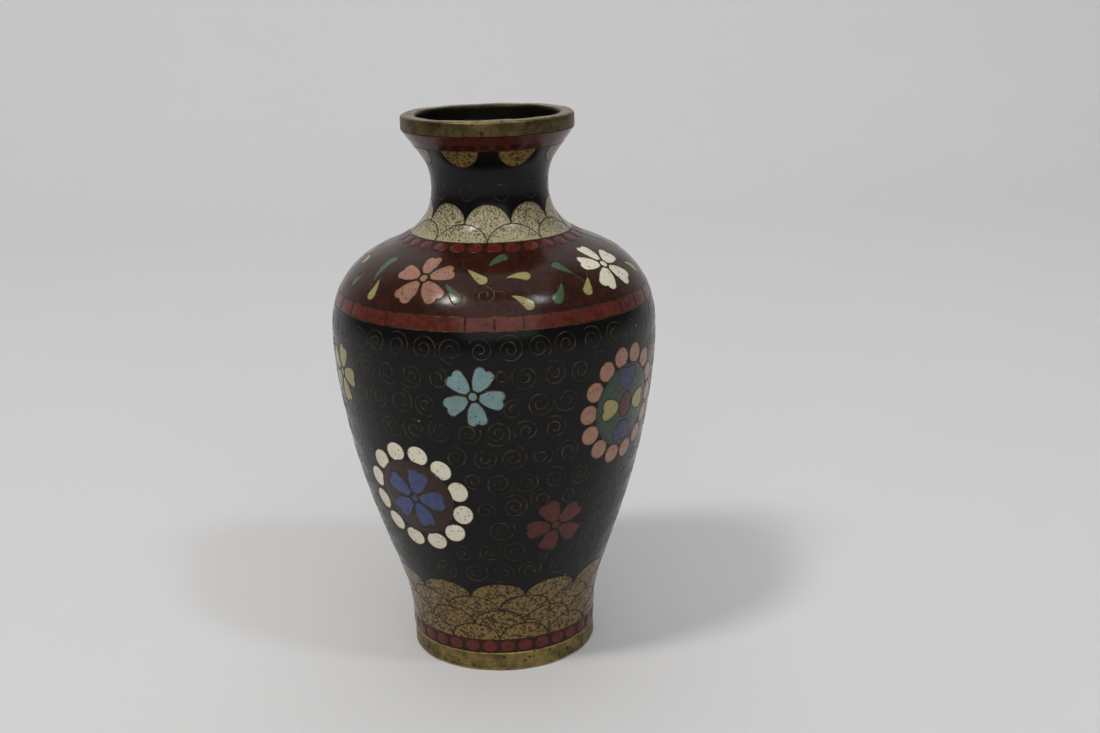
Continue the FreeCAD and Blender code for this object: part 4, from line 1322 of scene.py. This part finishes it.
class VASE_OT_foot_ring(bpy.types.Operator):
    """Make the cast brass foot ring"""
    bl_idname = "vase.foot_ring"
    bl_label = "Foot Ring"

    def execute(self, context):
        outer_r = wall_radius(0)
        socket_r = float(inside_wall([0.0], ENAMEL_T)[0, 0]) + SOLDER_GAP
        ledge = FOOT_TOP - SOCKET
        edge = 0.18
        profile = rounded_corner((outer_r - FOOT_ROUND, FOOT_ROUND), FOOT_ROUND, -90, 0, 8)
        profile += straight((outer_r, FOOT_ROUND), (outer_r, FOOT_TOP - edge), 9)
        profile += rounded_corner((outer_r - edge, FOOT_TOP - edge), edge, 0, 90, 5)
        profile += [(socket_r, FOOT_TOP), (socket_r, ledge), (FOOT_RING_BORE_R, ledge)]
        profile += [(FOOT_RING_BORE_R, edge), (FOOT_RING_BORE_R + edge, 0.0)]
        place = math.radians(FOOT_NICK_AZIMUTH)

        def cast(angles, radii, heights):
            """A casting's slight unevenness, and one nick near the front."""
            outside = radii > socket_r + 0.2
            wave = 0.05 * np.sin(5 * angles + 0.4) + 0.03 * np.sin(13 * angles + 2.0 * heights)
            away = np.hypot((angles - place) * outer_r, (heights - FOOT_NICK_Z) * 1.3)
            nick = NICK_DEPTH * np.exp(-(away / NICK_SIZE) ** 2)
            return radii + np.where(outside, wave - PLAY - nick, 0.0), heights

        ring = spun("brass_foot_ring", profile, finish("foot_brass"), 360, cast)
        settled(ring, "brass_mounts", "foot_ring")
        return {"FINISHED"}


class VASE_OT_rim_ring(bpy.types.Operator):
    """Make the brass rim that caps the wall"""
    bl_idname = "vase.rim_ring"
    bl_label = "Rim Ring"

    def execute(self, context):
        groove_out = float(inside_wall([MARKS[-1] - EDGE_STEP], ENAMEL_T)[0, 0]) + SOLDER_GAP
        groove_in = groove_out - COPPER_T - 2 * SOLDER_GAP
        groove_top = RIM_BOTTOM + SOCKET
        r = RIM_ROUND
        profile = [(RIM_R - 0.1, RIM_BOTTOM), (RIM_R, RIM_BOTTOM + 0.1)]
        profile += straight((RIM_R, RIM_BOTTOM + 0.1), (RIM_R, HEIGHT - r), 5)
        profile += rounded_corner((RIM_R - r, HEIGHT - r), r, 0, 90, 8)
        profile += straight((RIM_R - r, HEIGHT), (RIM_BORE_R + r, HEIGHT), 4)
        profile += rounded_corner((RIM_BORE_R + r, HEIGHT - r), r, 90, 180, 8)
        profile += straight((RIM_BORE_R, HEIGHT - r), (RIM_BORE_R, RIM_BOTTOM), 5)
        profile += [(RIM_BORE_R, RIM_BOTTOM), (groove_in, RIM_BOTTOM), (groove_in, groove_top)]
        profile += [(groove_out, groove_top), (groove_out, RIM_BOTTOM)]

        def worn(angles, radii, heights):
            """A rim that is not quite true any more."""
            wave = 0.05 * np.sin(3 * angles + 1.0) + 0.03 * np.sin(11 * angles)
            high = np.clip((heights - groove_top) / 0.8, 0, 1)
            outside = radii > groove_out + 0.2
            return radii + np.where(outside, wave - PLAY, 0.0), heights + high * (wave - PLAY)

        ring = spun("brass_rim", profile, finish("rim_brass"), 288, worn)
        settled(ring, "brass_mounts", "rim_ring")
        return {"FINISHED"}


class VASE_OT_inner_metal(bpy.types.Operator):
    """Finish the copper wall, the base plate and the enamel inside and below"""
    bl_idname = "vase.inner_metal"
    bl_label = "Inner Metal and Linings"

    def execute(self, context):
        carry_over("copper_body", finish("copper"))
        carry_over("base_plate", finish("plate_copper"))
        carry_over("base_enamel", finish("base_glass"))
        carry_over("lining", finish("lining_glass"))
        return {"FINISHED"}


class VASE_OT_ground_glass(bpy.types.Operator):
    """Lay the coats of ground glass on the copper"""
    bl_idname = "vase.ground_glass"
    bl_label = "Ground Glass"

    def execute(self, context):
        lip_top = mark_at(RIM_BOTTOM - EDGE_STEP)
        half_wire = WIRE_T / 2
        coats = [
            ("lip_glass_coat", LIP_MARK - half_wire, lip_top, "lip_glass", "enamel_red",
             "lip_enamel_red"),
            ("neck_glass_coat", COLLAR_MARK, LIP_MARK - half_wire, "black_glass", "enamel_black",
             "neck_enamel_black"),
            ("shoulder_glass_coat", BAND_TOP_MARK - half_wire, COLLAR_MARK, "maroon_glass",
             "enamel_maroon", "shoulder_enamel_maroon"),
            ("body_glass_coat", BEAD_MARK, BAND_BOTTOM_MARK + half_wire, "black_glass",
             "enamel_black", "body_enamel_black"),
            ("foot_glass_coat", EDGE_STEP, BEAD_MARK, "foot_ground_glass", "enamel_dark_red",
             "foot_enamel_dark_red")]
        for name, first, last, material, slot, node in coats:
            settled(coat(name, first, last, finish(material)), slot, node)
        return {"FINISHED"}


def inlay(name, spots, material, slot, node, crown=0.0, grow=WIRE_T / 2, seed_step=0):
    """Lay panes of glass that stand for a CAD node."""
    seed = bpy.context.scene.vase_sizes.seed + seed_step
    settled(panes(name, spots, finish(material), crown, seed, grow), slot, node)


def lay_wires(name, runs, material, node):
    """Lay wires that stand for a CAD node."""
    settled(wires(name, runs, finish(material), bpy.context.scene.vase_sizes), "cloison_wire", node)


class VASE_OT_neck_figures(bpy.types.Operator):
    """Lay the drops under the lip and the ringed dots of the neck"""
    bl_idname = "vase.neck_figures"
    bl_label = "Lip Drops and Neck Dots"

    def execute(self, context):
        top = LIP_MARK - WIRE_T
        whole = disc(LIP_DROP_R)
        glass = cut_level(grown(whole, WIRE_T / 2), highest=0.0)
        azimuths = spread(LIP_DROPS, LIP_DROP_START)
        inlay("lip_drop_glass", [Spot(glass, a, top, 0, 2) for a in azimuths], "drop_glass",
              "enamel_ochre", "lip_drops_ochre", grow=0.0)
        runs = wire_runs([Spot(whole, a, top, 0, 2) for a in azimuths], highest=top + WIRE_T / 2)
        lay_wires("lip_drop_wire", runs, "dark_wire", "lip_drop_wires")
        ring, dot_mark = disc(NECK_RING_R), mark_at(level(NECK_DOT_LEVEL))
        dots = [Spot(ring, a, dot_mark, 0, 1) for a in spread(NECK_RINGS, NECK_DOT_START)]
        inlay("neck_dot_glass", dots, "black_glass", "enamel_black", "neck_dots")
        lay_wires("neck_dot_wire", wire_runs(dots), "scroll_wire", "neck_dot_wires")
        border = ring_wire("lip_border", LIP_MARK - WIRE_T / 2, finish("bright_wire"))
        settled(border, "cloison_wire", "lip_border_wire")
        return {"FINISHED"}


class VASE_OT_collar(bpy.types.Operator):
    """Lay the two rows of collar scales and the row of red beads below them"""
    bl_idname = "vase.collar"
    bl_label = "Collar Scales and Beads"

    def execute(self, context):
        rims = []
        for row, percent, start, layer, seed_step in (
                ("lower", COLLAR_LOWER_LEVEL, COLLAR_LOWER_START, 4, 0),
                ("upper", COLLAR_UPPER_LEVEL, COLLAR_UPPER_START, 2, 5)):
            mark = mark_at(level(percent)) - COLLAR_SCALE_RISE
            whole, glass = scale_row(COLLAR_SCALES, mark, COLLAR_SCALE_RISE, start, layer, COLLAR_MARK)
            inlay(f"collar_{row}_glass", glass, "cream_glass", "enamel_cream", f"collar_scales_{row}",
                  grow=0.0, seed_step=seed_step)
            rims += whole
        lay_wires("collar_scale_wire", wire_runs(rims, lowest=COLLAR_MARK), "dark_wire",
                  "collar_scale_wires")
        beads = bead_row(COLLAR_BEADS, COLLAR_MARK - BEAD_R - WIRE_T - BEAD_GAP / 2)
        inlay("collar_bead_glass", beads, "bead_red_glass", "enamel_red", "collar_beads_red",
              context.scene.vase_sizes.bead_crown)
        lay_wires("collar_bead_wire", wire_runs(beads), "bead_wire", "collar_bead_wires")
        return {"FINISHED"}


class VASE_OT_shoulder(bpy.types.Operator):
    """Lay the flowers, comma leaves, stems and vine curls of the shoulder"""
    bl_idname = "vase.shoulder"
    bl_label = "Shoulder Flowers and Leaves"

    def execute(self, context):
        pink, pink_eyes = flower_spots(PINK_FLOWER, SHOULDER_FLOWER_LEVEL, SHOULDER_FLOWER_R,
                                       PINK_FLOWER_TWIST, layer=1)
        white, white_eyes = flower_spots(WHITE_FLOWER, SHOULDER_FLOWER_LEVEL, SHOULDER_FLOWER_R,
                                         WHITE_FLOWER_TWIST, layer=1)
        green, yellow = leaf_spots(GREEN_LEAVES), leaf_spots(YELLOW_LEAVES)
        for spots, kind, colour in ((pink + pink_eyes, "flowers", "pink"),
                                    (white + white_eyes, "flowers", "white"),
                                    (green, "leaves", "green"), (yellow, "leaves", "yellow")):
            inlay(f"shoulder_{colour}_glass", spots, f"{colour}_glass", f"enamel_{colour}",
                  f"shoulder_{kind}_{colour}", context.scene.vase_sizes.pane_crown)
        figures = pink_eyes + pink + white_eyes + white + green + yellow
        runs = wire_runs(figures)
        curl = scroll(VINE_R, 1)
        for side in both_sides(VINE):
            vine = Spot(curl, side, mark_at(level(VINE_LEVEL)), VINE_TWIST)
            runs += open_runs(vine.on_sheet(curl), figures)
        for stem in stem_lines(green + yellow):
            runs += open_runs(stem, figures)
        lay_wires("shoulder_wire", runs, "bright_wire", "shoulder_wires")
        return {"FINISHED"}


class VASE_OT_band(bpy.types.Operator):
    """Lay the band of red tiles between its two border wires"""
    bl_idname = "vase.band"
    bl_label = "Red Band"

    def execute(self, context):
        sizes = context.scene.vase_sizes
        low, high = BAND_BOTTOM_MARK + WIRE_T, BAND_TOP_MARK - WIRE_T
        middle, azimuths = (low + high) / 2, spread(BAND_TILES)
        tile = slab(2 * half_pitch(middle, BAND_TILES) - WIRE_T / 2, high - low + WIRE_T)
        half_tile = FULL_TURN / BAND_TILES / 2
        spots = [Spot(tile, a + half_tile, middle, 0, 1) for a in azimuths]
        inlay("band_tile_glass", spots, "band_red_glass", "enamel_red", "band_tiles_red",
              sizes.pane_crown, 0.0)
        marks = np.linspace(low - WIRE_T / 2, high + WIRE_T / 2, UPRIGHT_POINTS)
        runs = [(np.stack([np.full(UPRIGHT_POINTS, math.radians(a) * SHEET_R), marks], axis=1), 1)
                for a in azimuths]
        uprights = wires("band_upright", runs, finish("bright_wire"), sizes)
        borders = [ring_wire("band_border", mark, finish("bright_wire"))
                   for mark in (BAND_BOTTOM_MARK + WIRE_T / 2, BAND_TOP_MARK - WIRE_T / 2)]
        settled(joined("band_wire", [uprights] + borders), "cloison_wire", "band_wires")
        return {"FINISHED"}


class VASE_OT_white_medallions(bpy.types.Operator):
    """Lay the medallions with white petals and a blue flower"""
    bl_idname = "vase.white_medallions"
    bl_label = "White Medallions"

    def execute(self, context):
        crown = context.scene.vase_sizes.pane_crown
        turns = [BLUE_FLOWER_TWIST + FULL_TURN * i / FLOWER_PETALS for i in range(FLOWER_PETALS)]
        petals = on_medallion(WHITE_MEDALLION, petal(PETAL_ROOT_R, BLUE_PETAL_R, BLUE_PETAL_W), turns, 3)
        eyes = on_medallion(WHITE_MEDALLION, disc(FLOWER_EYE_R), layer=3)
        brown = on_medallion(WHITE_MEDALLION, disc(MEDALLION_DISC_R))
        outer = medallion_petal_spots(*WHITE_MEDALLION, WHITE_MEDALLION_PETALS)
        inlay("blue_flower_glass", petals + eyes, "blue_glass", "enamel_blue",
              "medallion_flower_blue", crown)
        inlay("brown_disc_glass", brown, "brown_glass", "enamel_brown", "medallion_disc_brown")
        inlay("white_petal_glass", outer, "white_glass", "enamel_white", "medallion_petals_white", crown)
        lay_wires("white_medallion_wire", wire_runs(eyes + petals) + wire_runs(brown + outer),
                  "bright_wire", "white_medallion_wires")
        return {"FINISHED"}


class VASE_OT_pink_medallions(bpy.types.Operator):
    """Lay the medallions with pink petals, purple caps, yellow lobes and a red heart"""
    bl_idname = "vase.pink_medallions"
    bl_label = "Pink Medallions"

    def execute(self, context):
        hearts = on_medallion(PINK_MEDALLION, oval(HEART_W / 2, HEART_H / 2), layer=5)
        lobes = on_medallion(PINK_MEDALLION, petal(LOBE_ROOT_R, LOBE_R, LOBE_W), (90, -90), 3)
        caps = on_medallion(PINK_MEDALLION, petal(CAP_ROOT_R, CAP_R, CAP_W), (0, 180), 2)
        green = on_medallion(PINK_MEDALLION, disc(MEDALLION_DISC_R))
        outer = medallion_petal_spots(*PINK_MEDALLION, PINK_MEDALLION_PETALS)
        inlay("red_heart_glass", hearts, "flower_red_glass", "enamel_red", "medallion_hearts_red", 0.02)
        inlay("yellow_lobe_glass", lobes, "yellow_glass", "enamel_yellow", "medallion_lobes_yellow", 0.01)
        inlay("purple_cap_glass", caps, "purple_glass", "enamel_purple", "medallion_caps_purple")
        inlay("green_disc_glass", green, "deep_green_glass", "enamel_deep_green", "medallion_disc_green")
        inlay("pink_petal_glass", outer, "pink_glass", "enamel_pink", "medallion_petals_pink",
              context.scene.vase_sizes.pane_crown)
        lay_wires("pink_medallion_wire", wire_runs(hearts + lobes + caps) + wire_runs(green + outer),
                  "bright_wire", "pink_medallion_wires")
        return {"FINISHED"}


class VASE_OT_body_flowers(bpy.types.Operator):
    """Lay the turquoise, red and yellow flowers of the body"""
    bl_idname = "vase.body_flowers"
    bl_label = "Body Flowers"

    def execute(self, context):
        figures = []
        for place, twist, colour, material in (
                (TURQUOISE_FLOWER, TURQUOISE_TWIST, "turquoise", "turquoise_glass"),
                (RED_FLOWER, RED_TWIST, "red", "flower_red_glass"),
                (YELLOW_FLOWER, YELLOW_TWIST, "yellow", "yellow_glass")):
            petals, eyes = flower_spots(*place, BODY_FLOWER_R, twist, layer=1)
            inlay(f"{colour}_flower_glass", petals + eyes, material, f"enamel_{colour}",
                  f"body_flowers_{colour}", context.scene.vase_sizes.pane_crown)
            figures += eyes + petals
        lay_wires("body_flower_wire", wire_runs(figures), "bright_wire", "body_flower_wires")
        return {"FINISHED"}


class VASE_OT_body_scrolls(bpy.types.Operator):
    """Lay the spiral wires that fill the black body"""
    bl_idname = "vase.body_scrolls"
    bl_label = "Body Scrolls"

    def execute(self, context):
        scrolls = wires("body_scroll_wire", scroll_runs(), finish("scroll_wire"), context.scene.vase_sizes)
        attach(scrolls, "root")
        return {"FINISHED"}


class VASE_OT_foot_figures(bpy.types.Operator):
    """Lay the four rows of foot scales and the row of beads above the foot ring"""
    bl_idname = "vase.foot_figures"
    bl_label = "Foot Scales and Beads"

    def execute(self, context):
        top = mark_at(level(FOOT_SCALE_LEVEL)) - FOOT_SCALE_RISE
        rims, glass = [], []
        for row in range(FOOT_SCALE_ROWS):
            mark = between(BEAD_MARK, top, row / (FOOT_SCALE_ROWS - 1))
            offset = FOOT_SCALE_START + HALF_TURN / FOOT_SCALES * ((FOOT_SCALE_ROWS - 1 - row) % 2)
            layer = FOOT_SCALE_ROWS - row
            row_rims, row_glass = scale_row(FOOT_SCALES, mark, FOOT_SCALE_RISE, offset, layer, BEAD_MARK)
            rims += row_rims
            glass += row_glass
        inlay("foot_scale_glass", glass, "ochre_glass", "enamel_ochre", "foot_scales_ochre", grow=0.0)
        lay_wires("foot_scale_wire", wire_runs(rims, lowest=BEAD_MARK), "dark_wire", "foot_scale_wires")
        beads = bead_row(FOOT_BEADS, BEAD_MARK / 2)
        inlay("foot_bead_glass", beads, "bead_red_glass", "enamel_red", "foot_beads_red",
              context.scene.vase_sizes.bead_crown)
        lay_wires("foot_bead_wire", wire_runs(beads), "bead_wire", "foot_bead_wires")
        return {"FINISHED"}


# The paper sweep in mm, the camera in m and degrees, and how bright the room is
PAPER_FRONT, PAPER_BACK, PAPER_HALF, PAPER_TOP, PAPER_BEND = -900.0, 620.0, 1600.0, 1500.0, 220.0
CAMERA_PLACE = (0.0, -0.245, 0.1165)
CAMERA_TURN = (2.1, 15.7, 1.37)
LENS, SENSOR_WIDTH = 50.07, 36.0
ROOM_LIGHT = 0.13

# Each lamp's name, direction, distance and size in m, power in W, colour, and what it shines on
VASE_MIDDLE = (0.0, 0.0, HEIGHT / 2 * MM)
BACKDROP = (0.0, 0.55, 0.3)
LAMPS = (
    ("key_light", (-0.40, -0.354, 0.847), 1.1, 0.17, 3.9, (1.0, 0.96, 0.90), VASE_MIDDLE),
    ("side_light", (0.43, -0.38, 0.82), 1.1, 0.13, 1.5, (0.92, 0.96, 1.0), VASE_MIDDLE),
    ("fill_light", (0.05, -0.80, 0.60), 1.6, 1.6, 7.5, (1.0, 1.0, 1.0), VASE_MIDDLE),
    ("backdrop_light", (0.0, -0.45, 0.89), 0.8, 0.9, 1.7, (1.0, 1.0, 1.0), BACKDROP))


def soft_light(name, direction, distance, size, power, colour, target):
    """A square lamp at a distance from what it shines on, turned towards it."""
    lamp = bpy.data.lights.new(name, "AREA")
    lamp.size, lamp.energy, lamp.color = size, power, colour
    placed = bpy.data.objects.new(name, lamp)
    bpy.context.scene.collection.objects.link(placed)
    way = Vector(direction).normalized()
    turn = way.to_track_quat("Z", "Y").to_matrix().to_4x4()
    placed.matrix_world = Matrix.Translation(Vector(target) + way * distance) @ turn


class VASE_OT_studio(bpy.types.Operator):
    """Set up the paper sweep, the soft lights and the camera"""
    bl_idname = "vase.studio"
    bl_label = "Studio"

    def execute(self, context):
        scene = context.scene
        bpy.data.objects.remove(bpy.data.objects["wall_line"])
        start = PAPER_BACK - PAPER_BEND
        sweep = [(y, 0.0) for y in (PAPER_FRONT, -300.0, 100.0, start)]
        sweep += [(start + PAPER_BEND * math.sin(a), PAPER_BEND - PAPER_BEND * math.cos(a))
                  for a in np.radians(np.linspace(9, 90, 10))]
        sweep += [(PAPER_BACK, 600.0), (PAPER_BACK, PAPER_TOP)]
        points = [(x, y, z) for x in (-PAPER_HALF, PAPER_HALF) for y, z in sweep]
        count = len(sweep)
        faces = [(i, i + count, i + count + 1, i + 1) for i in range(count - 1)]
        mesh = mesh_of("paper_sweep", points, faces=faces)
        mesh.shade_smooth()
        mesh.materials.append(finish("paper"))
        object_of("paper_sweep", mesh)

        for lamp in LAMPS:
            soft_light(*lamp)
        world = bpy.data.worlds.new("studio")
        world.use_nodes = True
        sky = world.node_tree.nodes["Background"]
        sky.inputs["Color"].default_value = (1.0, 1.0, 1.0, 1.0)
        sky.inputs["Strength"].default_value = ROOM_LIGHT
        scene.world = world
        scene.view_settings.view_transform = "Standard"

        camera = bpy.data.cameras.new("camera")
        camera.lens, camera.sensor_width, camera.clip_start = LENS, SENSOR_WIDTH, 0.01
        placed = bpy.data.objects.new("camera", camera)
        scene.collection.objects.link(placed)
        yaw, pitch, roll = (math.radians(angle) for angle in CAMERA_TURN)
        turn = Matrix.Rotation(-yaw, 4, "Z") @ Matrix.Rotation(math.pi / 2 - pitch, 4, "X")
        turn = turn @ Matrix.Rotation(-roll, 4, "Z")
        placed.matrix_world = Matrix.Translation(CAMERA_PLACE) @ turn
        scene.camera = placed
        return {"FINISHED"}


OPERATORS = (VASE_OT_wall_line, VASE_OT_foot_ring, VASE_OT_rim_ring, VASE_OT_inner_metal,
             VASE_OT_ground_glass, VASE_OT_neck_figures, VASE_OT_collar, VASE_OT_shoulder, VASE_OT_band,
             VASE_OT_white_medallions, VASE_OT_pink_medallions, VASE_OT_body_flowers,
             VASE_OT_body_scrolls, VASE_OT_foot_figures, VASE_OT_studio)


class VASE_PT_panel(bpy.types.Panel):
    """The vase's sizes, colours and making steps"""
    bl_idname = "VASE_PT_panel"
    bl_label = "Cloisonne Vase"
    bl_space_type = "VIEW_3D"
    bl_region_type = "UI"
    bl_category = "Vase"

    def draw(self, context):
        for settings in (context.scene.vase_sizes, context.scene.vase_glass):
            box = self.layout.box()
            for name in settings.bl_rna.properties.keys():
                if name not in ("rna_type", "name"):
                    box.prop(settings, name)
        for operator in OPERATORS:
            self.layout.operator(operator.bl_idname)


CLASSES = (VaseSizes, VaseGlass, *OPERATORS, VASE_PT_panel)


def register():
    for each in CLASSES:
        bpy.utils.register_class(each)
    bpy.types.Scene.vase_sizes = PointerProperty(type=VaseSizes)
    bpy.types.Scene.vase_glass = PointerProperty(type=VaseGlass)


def unregister():
    del bpy.types.Scene.vase_glass
    del bpy.types.Scene.vase_sizes
    for each in reversed(CLASSES):
        bpy.utils.unregister_class(each)


def main():
    register()
    for operator in OPERATORS:
        getattr(bpy.ops.vase, operator.bl_idname.split(".")[1])()


if __name__ == "__main__":
    main()
